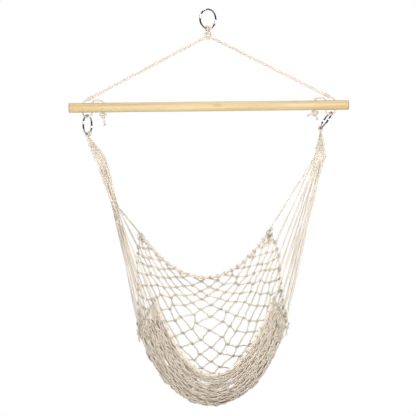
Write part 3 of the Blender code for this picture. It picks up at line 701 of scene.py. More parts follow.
for side, word in ((-1, "left"), (1, "right")):
    top = np.array((side * LEG_TOP[0], 0, LEG_TOP[1]))
    end = np.array((side * LEG_END[0], 0, LEG_END[1]))
    way = unit(end - top)
    up = unit(np.cross(way, (0, 1, 0)))
    line = stepped([top, end], 1.5)
    bag = Bag()
    bag.laid(line, LEG_R, 3, side * 44.0, 12, side * 0.6, swell=1.08, sub=11.0)
    if word == "right":
        # A short splice: strands tucked over and under where the rope turns back on itself.
        splice = Bag()
        for k in range(5):
            at = top + way * (7.0 + 5.2 * k)
            for face in (-1, 1):
                a = face * math.pi / 2
                t = np.linspace(-1, 1, 11)
                ring_angle = a + t * 1.15
                pts = (
                    at
                    + way * (t * 3.4 * (1 if k % 2 else -1))[:, None]
                    + (np.array((0, 1.0, 0)) * np.sin(ring_angle)[:, None] + up * np.cos(ring_angle)[:, None])
                    * (3.0 + 1.1 * np.cos(t * 1.5))[:, None]
                )
                splice.tube(pts, 1.35, 9, 3, 0.17, 7.0, k)
        splice.make("bridle_splice_right", ROPE, "spreader")
    piece = bag.make(f"bridle_leg_{word}_rope", ROPE, "spreader", (f"bridle_leg_{word}",))

    # The whipped sleeve where the leg meets its hanger cord.
    sleeve_end = np.array((side * SLEEVE_END[0], 0, SLEEVE_END[1]))
    bag = Bag()
    middle = (end + sleeve_end) / 2
    long = np.linalg.norm(sleeve_end - end) - 2.2
    bag.coil(middle, way, np.array((0, 1.0, 0)), up, SLEEVE_R - 1.0, SLEEVE_R - 1.0, long, 8.5, 1.0, 9, 26, 0.4, taper=False)
    bag.laid(stepped([end - way * 0.5, sleeve_end + way * 0.5], 1.2), 3.9, 3, 30.0, 12)
    bag.make(f"bridle_sleeve_{word}_whipping", YARN, "spreader", (f"bridle_sleeve_{word}",))

    # The hanger cord, down through the bar, round the ring and back over the bar to its stopper knot.
    line = stepped([(side * x, 0, z) for x, z in hanger_path()], 1.0)
    bag = Bag()
    bag.laid(line, HANGER_R, 3, side * 20.0, 9, 0.3, swell=1.1, sub=8.0)
    piece = bag.make(f"hanger_cord_{word}_rope", ROPE, "spreader", (f"hanger_cord_{word}",))

    # The stopper knot: an overhand knot drawn up tight under the bar.
    bag = Bag()
    t = np.linspace(0, 2 * np.pi, 150)
    grow = 7.5
    line = np.stack(
        [
            side * grow * (np.sin(t) + 2 * np.sin(2 * t)) / 3 * 1.06,
            4.6 * np.sin(3 * t),
            grow * (np.cos(t) - 2 * np.cos(2 * t)) / 3 * 0.84 + 0.3,
        ],
        axis=-1,
    ) + np.array((side * HOLE_C, 0, KNOT_Z))
    bag.laid(stepped(line, 0.9), 3.7, 3, 17.0, 9, 0.0, swell=1.12, sub=7.0)
    bag.laid(stepped([(side * HOLE_C, 0, -287.0), (side * HOLE_C, 0, KNOT_Z + 1)], 0.9), 2.9, 3, 17.0, 9)
    bag.make(f"stopper_knot_{word}_tied", ROPE, "spreader", (f"stopper_knot_{word}",))


# ---------------------------------------------------------------- tails of the stopper knots
def tail(name, node, points, radius, body="spreader", fray=0.28, count=14):
    """A short end of rope that opens into yarns."""
    line = smooth(points, 0.9)
    cut = int(len(line) * (1 - fray))
    bag = Bag()
    bag.laid(line[: cut + 2], radius, 3, 18.0, 9, 0.2, np.linspace(1.0, 0.93, cut + 2), swell=1.1, sub=7.0)
    way = line[cut] - line[cut - 2]
    rest = arc(line[cut:])[-1]
    bag.strands(line[cut], way, radius, rest + 1.0, count, 0.62, 0.34, 0.12)
    bag.make(name, ROPE, body, (node,))


knot_low = KNOT_Z - KNOT_HALF[2]
steps = np.linspace(0, 1, 6)
tail(
    "knot_tail_left_rope", "knot_tail_left",
    [(-HOLE_C + 2.0 + 3.0 * t, -1.0 * t, knot_low + 2.5 - 22.0 * t) for t in steps], TAIL_R + 0.6,
)
tail(
    "knot_tail_right_inner_rope", "knot_tail_right_inner",
    [(HOLE_C - 7.5 - 13.5 * t, -1.5 * t, KNOT_Z - 0.5 - 6.0 * t * t - 1.5 * t) for t in steps], TAIL_R + 0.25,
)
tail(
    "knot_tail_right_outer_rope", "knot_tail_right_outer",
    [(HOLE_C + 2.6 + 4.5 * t, -1.5 * t, knot_low + 2.6 - 12.0 * t) for t in steps], TAIL_R + 0.25,
)

# ---------------------------------------------------------------- the wooden bar
sides = 96
half = BAR_LENGTH / 2
profile = []
for i in range(9):
    a = math.pi / 2 * i / 8
    profile.append((BAR_ROUND * (1 - math.cos(a)), BAR_R - BAR_ROUND * (1 - math.sin(a))))
stations = [(-half + x, r) for x, r in profile]
stations += [(x, BAR_R) for x in np.arange(-half + 8, half - 7.9, 8.0)]
stations += [(half - x, r) for x, r in reversed(profile)]
around = 2 * np.pi * np.arange(sides) / sides
points = []
for x, r in stations:
    # A hand-finished dowel is never quite even, and the rope has worn it a little by the outer holes.
    uneven = 0.10 * math.sin(x * 0.043) + 0.08 * math.sin(x * 0.019 + 2)
    dent = -0.35 * math.exp(-(((abs(x) - 352) / 7) ** 2))
    for a in around:
        rr = r + uneven * (0.4 + 0.6 * math.sin(2 * a + x * 0.006)) - 0.18 + dent * max(0.0, math.sin(a))
        points.append((x * MM, rr * math.cos(a) * MM, (BAR_Z + rr * math.sin(a)) * MM))
faces = []
for i in range(len(stations) - 1):
    for j in range(sides):
        k = (j + 1) % sides
        faces.append((i * sides + j, i * sides + k, (i + 1) * sides + k, (i + 1) * sides + j))
faces.append(tuple(range(sides))[::-1])
faces.append(tuple(range((len(stations) - 1) * sides, len(stations) * sides)))
data = bpy.data.meshes.new("spreader_bar_turned")
data.from_pydata(points, [], faces)
data.update()
bar = bpy.data.objects.new("spreader_bar_turned", data)
bpy.context.scene.collection.objects.link(bar)


def drill(x):
    """A cutter with flared mouths, so that each hole has eased edges."""
    heights = [(-18, 7.2), (-14.2, 5.3), (-12.4, HOLE_R), (12.4, HOLE_R), (14.2, 5.3), (18, 7.2)]
    n = 40
    pts, fcs = [], []
    for z, r in heights:
        for j in range(n):
            a = 2 * math.pi * j / n
            pts.append(((x + r * math.cos(a)) * MM, r * math.sin(a) * MM, (BAR_Z + z) * MM))
    for i in range(len(heights) - 1):
        for j in range(n):
            k = (j + 1) % n
            fcs.append((i * n + j, i * n + k, (i + 1) * n + k, (i + 1) * n + j))
    fcs.append(tuple(range(n))[::-1])
    fcs.append(tuple(range((len(heights) - 1) * n, len(heights) * n)))
    cutter = bpy.data.meshes.new("drill")
    cutter.from_pydata(pts, [], fcs)
    cutter.update()
    obj = bpy.data.objects.new("drill", cutter)
    bpy.context.scene.collection.objects.link(obj)
    return obj


cutters = [drill(x) for x in (-HOLE_A, -HOLE_B, -HOLE_C, HOLE_C, HOLE_B, HOLE_A)]
for cutter in cutters:
    modifier = bar.modifiers.new("hole", "BOOLEAN")
    modifier.operation = "DIFFERENCE"
    modifier.solver = "EXACT"
    modifier.object = cutter
bpy.context.view_layer.update()
cut = bpy.data.meshes.new_from_object(bar.evaluated_get(bpy.context.evaluated_depsgraph_get()))
bar.modifiers.clear()
bar.data = cut
for cutter in cutters:
    bpy.data.objects.remove(cutter)
cut.polygons.foreach_set("use_smooth", np.ones(len(cut.polygons), bool))
cut.set_sharp_from_angle(angle=math.radians(32))
cut.materials.clear()
cut.materials.append(WOOD)
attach(bar, "spreader")
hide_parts("spreader_bar")


# ---------------------------------------------------------------- net surface
def net_knots():
    centres = np.array([row[1] for row in NET_ROWS], float)
    step = np.linalg.norm(np.diff(centres, axis=0), axis=1)
    return np.concatenate([[0.0], np.cumsum(step)]) / step.sum()


def net_rows(v):
    values = np.array([[*row[0], *row[1], *row[2], row[3]] for row in NET_ROWS], float)
    out = cubic(net_knots(), values, v)
    return out[:, 0:3], out[:, 3:6], out[:, 6:9], np.radians(np.clip(out[:, 9], 8, 75))


def net_points(u, v):
    """Points on the net's middle surface for u in -1..1 (left to right) and v in 0..1 (back to front)."""
    u = np.atleast_1d(np.asarray(u, float))
    left, low, right, bend = net_rows(np.broadcast_to(v, u.shape))
    end = np.where((u < 0)[:, None], left, right)
    a = np.abs(u)
    across = np.sin(a * bend) / np.sin(bend)
    up = (1 - np.cos(a * bend)) / (1 - np.cos(bend))
    deep = 1 - (1 - a**2) ** 1.15
    out = np.empty((len(u), 3))
    out[:, 0] = low[:, 0] + (end[:, 0] - low[:, 0]) * across
    out[:, 1] = low[:, 1] + (end[:, 1] - low[:, 1]) * deep
    out[:, 2] = low[:, 2] + (end[:, 2] - low[:, 2]) * up
    return out + np.array(NET_SHIFT)


GRID_V, GRID_F = 201, 161
GRID = np.empty((GRID_V, GRID_F, 3))
for row in range(GRID_V):
    GRID[row] = evenly(net_points(np.linspace(-1, 1, 321), np.full(321, row / (GRID_V - 1))), GRID_F)


def net_at(f, v):
    """The net's surface at share f along a row (0 left, 1 right) and v from back to front."""
    x = np.clip(f, 0, 1) * (GRID_F - 1)
    y = np.clip(v, 0, 1) * (GRID_V - 1)
    i, j = min(int(y), GRID_V - 2), min(int(x), GRID_F - 2)
    a, b = y - i, x - j
    return (
        GRID[i, j] * (1 - a) * (1 - b)
        + GRID[i + 1, j] * a * (1 - b)
        + GRID[i, j + 1] * (1 - a) * b
        + GRID[i + 1, j + 1] * a * b
    )


def net_frame(f, v):
    """The surface point, the way along the row, the way towards the front, and the way out of the pouch."""
    e = 0.006
    p = net_at(f, v)
    along = unit(net_at(min(f + e, 1), v) - net_at(max(f - e, 0), v))
    down = net_at(f, min(v + e, 1)) - net_at(f, max(v - e, 0))
    down = unit(down - down.dot(along) * along)
    out = np.cross(along, down)
    if out.dot(p - POUCH) < 0:
        out = -out
    return p, along, down, out


# Half rows: their shares of the way from back to front.
centre_line = GRID[:, GRID_F // 2]
centre_arc = arc(centre_line)
at, rows = 0.0, [0.0]
while at < centre_arc[-1]:
    share = at / centre_arc[-1]
    at += float(np.interp(share, [s for s, _ in ROW_STEP], [h for _, h in ROW_STEP]))
    rows.append(at)
rows = np.array(rows) * centre_arc[-1] / rows[-1]
ROWS = np.interp(rows, centre_arc, np.linspace(0, 1, GRID_V))
print("net half rows", len(ROWS), "centre arc", round(float(centre_arc[-1]), 1), "row lengths",
      [round(float(arc(GRID[int(v * (GRID_V - 1))])[-1])) for v in (0, 0.2, 0.4, 0.6, 0.8, 1.0)])

# Knots: each row holds its knots half a mesh along from the row above.
KNOTS = []
for k, v in enumerate(ROWS):
    count = MESHES + 1 if k % 2 else MESHES
    shares = np.arange(count) / MESHES if k % 2 else (np.arange(count) + 0.5) / MESHES
    row = []
    for f in shares:
        edge = f < 1e-6 or f > 1 - 1e-6
        end_row = k in (0, len(ROWS) - 1)
        # The middle meshes are a little wider than those by the sides.
        g = f + 0.012 * math.sin(2 * math.pi * f) * (-1)
        if not edge:
            g += RANDOM.normal(0, 0.0075)
        w = v if end_row else v + RANDOM.normal(0, 0.0022 if v < 0.5 else 0.0017)
        p, along, down, out = net_frame(g, w)
        if not edge and not end_row:
            p = p + out * RANDOM.normal(0, 1.0 if v < 0.5 else 1.8)
        a = RANDOM.normal(0, 0.16 if v < 0.5 else 0.08)
        along, down = along * math.cos(a) + down * math.sin(a), down * math.cos(a) - along * math.sin(a)
        row.append((p, along, down, out, g, edge))
    KNOTS.append(row)

HALF_KNOT, DROP = 4.6, 1.6
panels = {"net_back": Bag(), "net_seat": Bag(), "net_front": Bag()}
ties = {name: Bag() for name in panels}
folds = {name: Bag() for name in ("net_seat", "net_front")}


def panel(v):
    return "net_back" if v < NET_SPLIT[0] else "net_seat" if v < NET_SPLIT[1] else "net_front"


for k in range(len(ROWS) - 1):
    visits = sorted(
        [(knot[4], knot, 1) for knot in KNOTS[k]] + [(knot[4], knot, -1) for knot in KNOTS[k + 1]],
        key=lambda item: item[0],
    )
    slack = float(np.interp(ROWS[k], (0, 0.45, 0.62, 1), (0.5, 0.9, 1.5, 1.7)))
    points, near = [], []
    for number, (_, (p, along, down, out, g, edge), way) in enumerate(visits):
        drop = down * ((DROP if ROWS[k] < 0.5 else 2.35) * way)
        first, last = number == 0, number == len(visits) - 1
        if number:
            q = visits[number - 1][1][0]
            gap = p - q
            for share in (0.34, 0.66):
                points.append(
                    q + gap * share + down * RANDOM.normal(0, slack * 0.7) + out * RANDOM.normal(0, slack)
                )
        if edge and (first or last):
            points.append(p + drop * 1.3)
        else:
            points.append(p - along * HALF_KNOT + drop)
            points.append(p + along * HALF_KNOT + drop)
    open_net = ROWS[k] < 0.5
    line = smooth(points, 1.25 if open_net else 1.75)
    panels[panel((ROWS[k] + ROWS[k + 1]) / 2)].tube(
        line, CORD_R * (1 if open_net else 0.98), 9 if open_net else 7, 3, 0.19, 12.0, RANDOM.uniform(0, 6)
    )

# Behind the gathered front the slack meshes fold into a second layer; its cotton is a darker copy painted as in shade,
# so it shows dark between the outer cords.
for v in np.arange(0.60, 0.985, 0.0125):
    open_middle = 0.79 < v < 0.94 and RANDOM.uniform() < 0.65
    half_gap = RANDOM.uniform(0.02, 0.06)
    middle = 0.5 + RANDOM.normal(0, 0.05)
    runs = ((0.03, middle - half_gap), (middle + half_gap, 0.97)) if open_middle else ((0.03, 0.97),)
    for low, high in runs:
        points = []
        for f in np.linspace(low, high, int(34 * (high - low)) + 3):
            p, along, down, out = net_frame(f, v)
            inward = out if out.dot(p - POUCH) < 0 else -out
            points.append(p + inward * (6.0 + RANDOM.normal(0, 0.8)) + down * RANDOM.normal(0, 1.5))
        folds[panel(v)].tube(smooth(np.array(points), 2.4), 2.3, 7, 2, 0.12, 12.0, RANDOM.uniform(0, 6))

for k, row in enumerate(KNOTS):
    bag = ties[panel(ROWS[k])]
    for p, along, down, out, g, edge in row:
        if k in (0, len(ROWS) - 1):
            continue
        size = RANDOM.uniform(0.92, 1.15)
        drawn = ROWS[k] > 0.53
        if drawn and not edge and RANDOM.uniform() < 0.45:
            continue
        if drawn and RANDOM.uniform() < 0.85:
            # In the gathered front the knots are pulled flat between their cords.
            if edge:
                bag.coil(p, down, along, out, 3.4 * size, 3.2 * size, 4.0, 1.6, 1.3, 6, 9, RANDOM.uniform(0, 6))
            else:
                bag.coil(p, along, down, out, 2.3 * size, 2.1 * size, 5.5 * size, 1.6, 1.2, 6, 8, RANDOM.uniform(0, 6))
            continue
        if edge:
            if g > 0.5 and ROWS[k] < 0.4:
                size *= 1.25
            bag.coil(p, down, along, out, 3.7 * size, 3.5 * size, 6.0, 2.2, 1.35, 7, 12, RANDOM.uniform(0, 6))
            continue
        bag.coil(p, along, down, out, 3.1 * size, 2.8 * size, 7.6 * size, 2.3, 1.55, 7, 10, RANDOM.uniform(0, 6))
        # The tucked bight that makes the knot stand proud on one face.
        face = 1 if RANDOM.uniform() < 0.5 else -1
        t = np.linspace(-1, 1, 9)[:, None]
        line = p + along * (t * 4.6 * size) + down * (face * 1.5 * np.sin(t * 2.2)) + out * (2.5 * size * np.cos(t * 1.35))
        bag.tube(line, 1.3, 6, 2, 0.15, 6.0)

# The side cords that the clews are tied to.
for side, f in (("left", 0.0), ("right", 1.0)):
    column = GRID[:, 0] if f == 0.0 else GRID[:, -1]
    for name, low, high in (("net_back", 0.0, NET_SPLIT[0]), ("net_seat", NET_SPLIT[0], NET_SPLIT[1]), ("net_front", NET_SPLIT[1], 1.0)):
        a, b = int(round(low * (GRID_V - 1))), int(round(high * (GRID_V - 1)))
        panels[name].laid(stepped(column[a : b + 1], 1.6), 2.3, 2, 20.0, 9, 0.0, swell=1.05, sub=8.0)

# Spare cord knotted up at the two back corners, with a few loose loops.
for f0, way, knots, loops in ((0.0, 1, 8, 2), (1.0, -1, 6, 4)):
    bag = ties["net_back"]
    for number in range(knots + loops):
        f, v = f0 + way * RANDOM.uniform(0.0, 0.035), RANDOM.uniform(0.0, 0.045 if number % 2 else 0.02)
        p, along, down, out = net_frame(f, v)
        p = p + out * RANDOM.uniform(-3, 3)
        a = RANDOM.uniform(0, math.pi)
        one, two = along * math.cos(a) + down * math.sin(a), down * math.cos(a) - along * math.sin(a)
        if number < knots:
            bag.coil(p, one, two, out, RANDOM.uniform(3.2, 4.6), RANDOM.uniform(3.0, 4.2), RANDOM.uniform(4, 8), 2.3, 1.4, 7, 12, RANDOM.uniform(0, 6))
        else:
            t = np.linspace(0, 2 * np.pi, 40)[:, None]
            reach = RANDOM.uniform(5, 9)
            loop = p + one * (reach + reach * np.cos(t)) + two * (0.55 * reach * np.sin(t)) + out * (2.0 * np.sin(2 * t))
            bag.tube(smooth(loop, 1.1), 1.3, 7, 2, 0.15, 8.0)

# ---------------------------------------------------------------- edge ropes
for name, v, phase in (("back_edge_rope", 0, 0.0), ("front_edge_rope", 1, 1.0)):
    row = net_points(np.linspace(-0.985, 0.985, 401), np.full(401, float(v)))
    line = stepped(row, 1.7)
    bag = Bag()
    n = len(line)
    bulge = 1 + 0.07 * np.sin(np.linspace(0, 19, n) + phase) + 0.05 * np.sin(np.linspace(0, 43, n))
    bag.laid(line, EDGE_R * 0.94, 3, 58.0 if v else -52.0, 12, phase, bulge, swell=1.02, sub=12.0)
    # Hitches of the net's first cord round the edge rope.
    for f in (np.arange(2 * MESHES) + 0.5) / (2 * MESHES):
        p, along, down, out = net_frame(f, float(v))
        size = RANDOM.uniform(0.95, 1.08)
        ties["net_front" if v else "net_back"].coil(p, unit(along + down * RANDOM.normal(0, 0.25)), down, out, 5.2 * size, 5.0 * size, RANDOM.uniform(3, 6), RANDOM.choice((1.1, 1.6, 2.1)), 1.2, 7, 14, RANDOM.uniform(0, 6))
    piece = bag.make(name + "_laid", CORD, "seat", (name,))

# ---------------------------------------------------------------- hitches, mats and clew cords
fan = math.radians(FAN_TURN)
full = (CLEWS - 1) * CLEW_PITCH
CLEW_NUMBERS = range(CLEWS)
for word, (centre, turned, side) in SIDE.items():
    fan_way = np.array((-side * math.sin(fan), math.cos(fan), 0))
    bag = Bag()
    middle_r = (HITCH_INNER + HITCH_OUTER) / 2
    cord_r = (HITCH_OUTER - HITCH_INNER) / 2
    ring_coil(bag, centre, turned, HITCH_HALF - cord_r, 4.0, middle_r + 0.35, cord_r * 1.26, 10, 0.6)
    if side < 0:
        # On the left the cord is wound on up the ring's inner side.
        up = 1 if on_wire(centre, turned, np.array([math.pi + 0.5]), 0.0, 0.0)[0][0] > centre[0] else -1
        ring_coil(bag, centre, turned, 5.0, 2.6, middle_r + 0.9, cord_r * 1.3, 10, 1.9, up * 12.0)
    # A slack turn of the first cord that stands away from the wire.
    t = np.linspace(0.15, 2 * np.pi - 0.6, 44)
    spread = middle_r + 1.1 + 1.2 * np.sin(t / 2) ** 2
    line = on_wire(centre, turned, np.full(44, math.pi) + 0.10 * np.cos(t), spread, t + math.pi)
    bag.tube(line, 1.2, 10, 3, 0.17, 6.5)
    down = -turned[:, 2]
    top = centre + down * (RING_R + HITCH_OUTER + 1.9)
    if side > 0:
        top = top + np.array(MAT_SHIFT_RIGHT)
    bag.make(f"clew_hitch_{word}_turns", ROPE, "seat", (f"clew_hitch_{word}",))

    bottom = np.array(MAT_BOTTOM[word])
    across = turned[:, 0] if turned[1, 0] > 0 else -turned[:, 0]
    way = unit(bottom - top)

    def mat(t, x, lift):
        """A point of the mat: t from hitch to clews, x across in mm at the clew end, lift off its face in mm."""
        line = across * (1 - t) + fan_way * t
        line = unit(line - line.dot(way) * way * (1 - t))
        through = unit(np.cross(way, line))
        top_wide = MAT_TOP_WIDTH + (0.6 if side < 0 else 5.0)
        wide = (top_wide + (full - top_wide) * math.sin(min(1.0, 1.18 * t) * math.pi / 2)) / full
        return top + (bottom - top) * t + line * x * wide + through * lift

    bag = Bag()
    for i in CLEW_NUMBERS:
        x = ((CLEWS - 1) / 2 - i) * CLEW_PITCH
        ts = np.linspace(0, 1, 33)
        line = np.array(
            [
                mat(t, x + 1.6 * math.sin(2 * math.pi * (t * 3.5 + i * 0.5)) * min(1, 3 * (1 - t)),
                    1.25 * math.cos(math.pi * (i + 7 * t)) * min(1, 4 * (1 - t) + 0.15))
                for t in ts
            ]
        )
        line = np.concatenate([[top - down * 2.6 + (line[0] - top) * 0.55], line, [line[-1] + unit(line[-1] - line[-3]) * 2.2]])
        radii = np.interp(np.linspace(0, 1, 0 + len(smooth(line, 1.1))), (0, 0.35, 1), (0.72, 0.9, 1.0))
        bag.tube(smooth(line, 1.1), CLEW_R, 9, 3, 0.18, 11.0 if i % 2 else -11.0, i, radii)
    # Cords woven across from one edge to the other.
    for number, t in enumerate(np.linspace(0.07, 0.985, 12) ** 0.9):
        xs = np.linspace(-full / 2 - 1.2, full / 2 + 1.2, 49)
        flip = 1 if number % 2 else -1
        line = np.array(
            [mat(min(1, max(0, t + 0.028 * math.sin(x * 0.5 + number) + flip * 0.030 * x / full)), x, flip * 1.75 * math.cos(math.pi * x / CLEW_PITCH)) for x in xs]
        )
        bag.tube(smooth(line, 1.1), 1.3, 9, 3, 0.17, 7.0, number)
    # The loop that gathers the mat's top under the hitch.
    p = mat(0.0, 0, 0)
    line0 = unit(mat(0.0, 5, 0) - mat(0.0, -5, 0))
    bag.coil(p + way * 0.8, way, line0, np.cross(way, line0), MAT_TOP_WIDTH / 2 + 0.2, 3.1, 3.6, 2.0, 1.3, 9, 22)
    bag.make(f"clew_mat_{word}_woven", CORD, "seat", (f"clew_mat_{word}",))

    rim = net_points(np.full(401, float(side)), np.linspace(0, 1, 401))
    ends = evenly(rim, CLEWS)
    for i in CLEW_NUMBERS:
        start = bottom + fan_way * ((CLEWS - 1) / 2 - i) * CLEW_PITCH
        end = ends[i]
        waist = (start + end) / 2
        if side < 0:
            across_it = unit(np.cross(np.array(WAIST_LEFT) - bottom, fan_way))
            waist = (
                np.array(WAIST_LEFT)
                + fan_way * ((CLEWS - 1) / 2 - i) * WAIST_PITCH
                + across_it * WAIST_DEPTH * ((-1, 1)[i % 2] if i < 10 else 2 * i - 17)
            )
        lead = unit(end - waist)
        start = start + unit(waist - start) * 1.7
        end = end - lead * (5.6 if i in (0, CLEWS - 1) else 3.6)
        above, below = np.linalg.norm(waist - start), np.linalg.norm(end - waist)
        ts = np.linspace(0, 1, 33)[:, None]
        mid = above / (above + below)
        legs = np.where(ts < mid, start + (waist - start) * (ts / mid), waist + (end - waist) * ((ts - mid) / (1 - mid)))
        if side < 0:
            # Rounded where the bundle opens.
            for _ in range(3):
                legs[1:-1] = (legs[:-2] + legs[1:-1] * 2 + legs[2:]) / 4
        through = unit(np.cross(lead, fan_way))
        reach_t = 0.40
        swap = np.where(ts < reach_t, np.sin(np.pi * ts / reach_t), 0.0)
        sway = (2.6 if i % 2 else -2.6) * (0.8 + 0.4 * RANDOM.uniform())
        if i in (0, CLEWS - 1):
            sway *= 0.3
        points = (
            legs
            + fan_way * (sway * swap)
            + through * ((2.0 if i % 2 else -2.0) * swap * np.cos(np.pi * ts / reach_t))
            + np.array((0, 0, -1.0)) * ((above + below) * 0.005 * np.sin(np.pi * ts))
            + fan_way * (RANDOM.normal(0, 0.9) * np.sin(2 * np.pi * ts))
        )
        line = smooth(points, 1.35)
        bag = Bag()
        # Each clew is a doubled cord: down to the net, through its side and back up.
        way_t, side_t, other_t = frames(line)
        length = arc(line)
        roll = RANDOM.uniform(0, 6) + length / RANDOM.uniform(60, 110) * RANDOM.choice((-1, 1))
        apart = 1.45 + 0.35 * np.sin(length / 31.0 + i)
        apart *= np.clip(np.minimum(length, length[-1] - length) / 12.0, 0.55, 1)
        for face in (-1, 1):
            strand = line + (side_t * np.cos(roll)[:, None] + other_t * np.sin(roll)[:, None]) * (face * apart)[:, None]
            bag.tube(strand, 1.4, 9, 3, 0.19, 9.0 * face, i + face)
        # Its hitch on the net's side cord.
        rim_way = unit(rim[min(400, int(i / (CLEWS - 1) * 400) + 2)] - rim[max(0, int(i / (CLEWS - 1) * 400) - 2)])
        tied = unit(np.cross(rim_way, lead))
        here = ties[panel(i / (CLEWS - 1))]
        here.coil(ends[i], rim_way, unit(np.cross(tied, rim_way)), tied, 4.7, 4.4, 5.5, 2.3, 1.4, 7, 13, i)
        here.coil(end - lead * 3.0, lead, tied, np.cross(lead, tied), 2.7, 2.7, 5.0, 1.8, 1.25, 7, 12, i)
        piece = bag.make(f"clew_{word}_{i + 1:02d}_cord", CORD, "seat", (f"clew_{word}_{i + 1:02d}",))

# ---------------------------------------------------------------- lashings tied through the net near its corners


def lashing(name, u, v, first_tail, second_tail, knot):
    at, near, ahead = (np.array(net_points([a], [b])[0]) for a, b in ((u, v), (u + 0.01, v), (u, v + 0.01)))
    out = unit(np.cross(near - at, ahead - at))
    if out.dot(at - POUCH) < 0:
        out = -out
    at = at + out * (NET_THICK / 2 + knot + 0.6)
    tails = []
    for t in (first_tail, second_tail):
        t = np.array(t, float)
        if abs(out[1]) > 0.3:
            t[1] -= max(-22.0, min(22.0, t.dot(out) / out[1]))
        tails.append(t - out * t.dot(out) + out * 3.0)
    lead = unit(tails[1] - tails[0])
    shape = [at + tails[0], at - lead * knot * 1.3, at, at + lead * knot * 1.3, at + tails[1]]
    line = stepped(cubic([0.0, 0.38, 0.5, 0.62, 1.0], shape, np.linspace(0, 1, 80)), 0.9)
    n = len(line)
    bag = Bag()
    a, b = int(n * 0.16), int(n * 0.84)
    bag.laid(line[a:b], 1.95, 3, 12.0, 9, 0.0, swell=1.1, sub=6.0)
    bag.strands(line[a], line[a] - line[a + 2], 1.9, arc(line[: a + 1])[-1] + 1.0, 9, 0.5, 0.45, 0.2)
    bag.strands(line[b], line[b] - line[b - 2], 1.9, arc(line[b:])[-1] + 1.0, 9, 0.5, 0.45, 0.2)
    across = unit(np.cross(lead, out))
    t = np.linspace(0, 2 * np.pi, 110)
    grow = knot * 0.78
    tied = (
        at
        + lead * (grow * (np.sin(t) + 2 * np.sin(2 * t)) / 3)[:, None]
        + across * (grow * (np.cos(t) - 2 * np.cos(2 * t)) / 3)[:, None]
        + out * (knot * 0.5 * np.sin(3 * t))[:, None]
    )
    bag.laid(stepped(tied, 0.8), 1.8, 3, 11.0, 9, 0.0, swell=1.1, sub=6.0)
    # The turns that hold it to the net.
    for shift in (-2.2, 2.0):
        bag.coil(at + lead * shift - out * (knot * 0.55), lead, across, out, knot * 0.75, knot * 0.95, 3.0, 1.3, 1.3, 7, 14, shift)
    bag.make(name + "_tied", ROPE, "seat", (name,))


lashing("lashing_front_left", -0.92, 0.905, (-24, 0, -7), (24, 0, 8), 5.0)
lashing("lashing_side_left", -0.95, 0.72, (-2, -12, 14), (-4, 4, -24), 4.2)
lashing("lashing_front_right", 0.93, 0.90, (-8, 0, 26), (14, 0, -22), 5.0)
lashing("lashing_side_right", 0.96, 0.70, (2, -10, 16), (4, 4, -26), 4.2)
lashing("lashing_back_right", 0.955, 0.055, (-20, 0, -10), (12, 0, 5), 4.0)

for name, bag in panels.items():
    bag.make(name + "_cords", CORD, "seat", (name,))
    ties[name].make(name + "_knots", CORD, "seat")
for name, bag in folds.items():
    bag.make(name + "_folds", FOLD_SHADED, "seat")

# ---------------------------------------------------------------- floor, light and camera
floor = bpy.data.meshes.new("floor")
n = 96
floor.from_pydata(
    [(1.3 * math.cos(2 * math.pi * k / n), 1.3 * math.sin(2 * math.pi * k / n), -1.36) for k in range(n)],
    [],
    [tuple(range(n))],
)
pale = Nodes("scene_floor")
grey = pale.noise(pale.add("ShaderNodeTexCoord").outputs["Object"], 3.0, 2.0)
pale.link(pale.mix(grey, (0.86, 0.86, 0.86), (0.90, 0.90, 0.895)), pale.shader.inputs["Base Color"])
pale.shader.inputs["Roughness"].default_value = 0.9
floor.materials.append(pale.material)
floor_object = bpy.data.objects.new("floor", floor)
bpy.context.scene.collection.objects.link(floor_object)

world = bpy.data.worlds.new("studio")
bpy.context.scene.world = world
world.use_nodes = True
tree = world.node_tree
tree.nodes.clear()
output = tree.nodes.new("ShaderNodeOutputWorld")
seen = tree.nodes.new("ShaderNodeBackground")
seen.inputs["Color"].default_value = (1, 1, 1, 1)
seen.inputs["Strength"].default_value = 1.0
room = tree.nodes.new("ShaderNodeBackground")
room.inputs["Strength"].default_value = 1.0
direction = tree.nodes.new("ShaderNodeTexCoord")
parts = tree.nodes.new("ShaderNodeSeparateXYZ")
tree.links.new(direction.outputs["Generated"], parts.inputs[0])
blend = tree.nodes.new("ShaderNodeMapRange")
blend.inputs["From Min"].default_value = -0.35
blend.inputs["From Max"].default_value = 0.9
tree.links.new(parts.outputs[1], blend.inputs["Value"])
shade = tree.nodes.new("ShaderNodeMix")
shade.data_type = "RGBA"
shade.inputs[6].default_value = (0.13, 0.13, 0.135, 1)
shade.inputs[7].default_value = (0.55, 0.55, 0.55, 1)
tree.links.new(blend.outputs[0], shade.inputs[0])
tree.links.new(shade.outputs[2], room.inputs["Color"])
path = tree.nodes.new("ShaderNodeLightPath")
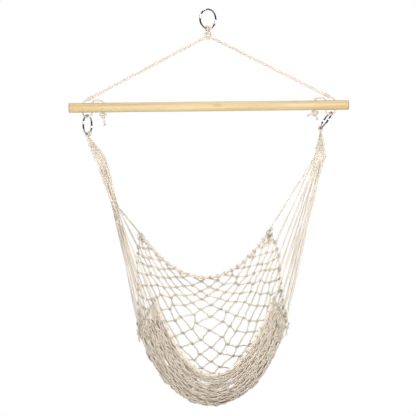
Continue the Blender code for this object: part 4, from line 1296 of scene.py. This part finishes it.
# What polished metal mirrors is a dim room with a bright back wall.
mirrored = tree.nodes.new("ShaderNodeBackground")
mirrored.inputs["Strength"].default_value = 0.3
dim = tree.nodes.new("ShaderNodeMix")
dim.data_type = "RGBA"
dim.inputs[6].default_value = (0.05, 0.045, 0.035, 1)
dim.inputs[7].default_value = (1.6, 1.6, 1.65, 1)
tree.links.new(blend.outputs[0], dim.inputs[0])
tree.links.new(dim.outputs[2], mirrored.inputs["Color"])
inner = tree.nodes.new("ShaderNodeMixShader")
tree.links.new(path.outputs["Is Glossy Ray"], inner.inputs[0])
tree.links.new(room.outputs[0], inner.inputs[1])
tree.links.new(mirrored.outputs[0], inner.inputs[2])
chosen = tree.nodes.new("ShaderNodeMixShader")
tree.links.new(path.outputs["Is Camera Ray"], chosen.inputs[0])
tree.links.new(inner.outputs[0], chosen.inputs[1])
tree.links.new(seen.outputs[0], chosen.inputs[2])
tree.links.new(chosen.outputs[0], output.inputs["Surface"])


def softbox(name, at, aim, size, power, colour=(1, 1, 1)):
    data = bpy.data.lights.new(name, "AREA")
    data.shape = "RECTANGLE"
    data.size, data.size_y = size
    data.energy = power
    data.color = colour
    obj = bpy.data.objects.new(name, data)
    bpy.context.scene.collection.objects.link(obj)
    obj.location = at
    obj.visible_camera = False
    obj.visible_glossy = name in ("key", "top")
    obj.rotation_euler = (Vector(aim) - Vector(at)).to_track_quat("-Z", "Y").to_euler()
    return obj


softbox("key", (0.9, -3.0, 0.9), (0, 0, -0.6), (1.3, 1.3), 90, (1.0, 0.99, 0.975))
softbox("fill", (-2.0, -2.6, 0.1), (0, 0, -0.6), (1.4, 1.8), 46, (0.99, 0.99, 1.0))
softbox("top", (0.2, 0.3, 1.9), (0, 0, -0.6), (1.2, 1.0), 26)
softbox("low", (0.2, -2.6, -1.9), (0, 0, -0.85), (1.8, 1.0), 52, (1.0, 0.99, 0.97))
softbox("back", (0.4, 3.0, 0.6), (0, 0, -0.7), (2.0, 1.6), 34)

camera_data = bpy.data.cameras.new("camera")
camera_data.sensor_width = 36.0
camera_data.lens = 36.0 * 20.0 / 1.186
camera_data.clip_end = 60
camera = bpy.data.objects.new("camera", camera_data)
bpy.context.scene.collection.objects.link(camera)
camera.location = (-0.0055, -20.0, -0.564)
camera.rotation_euler = (math.radians(90), math.radians(0.62), 0)
bpy.context.scene.camera = camera
bpy.context.scene.view_settings.view_transform = "Standard"
bpy.context.scene.view_settings.look = "None"
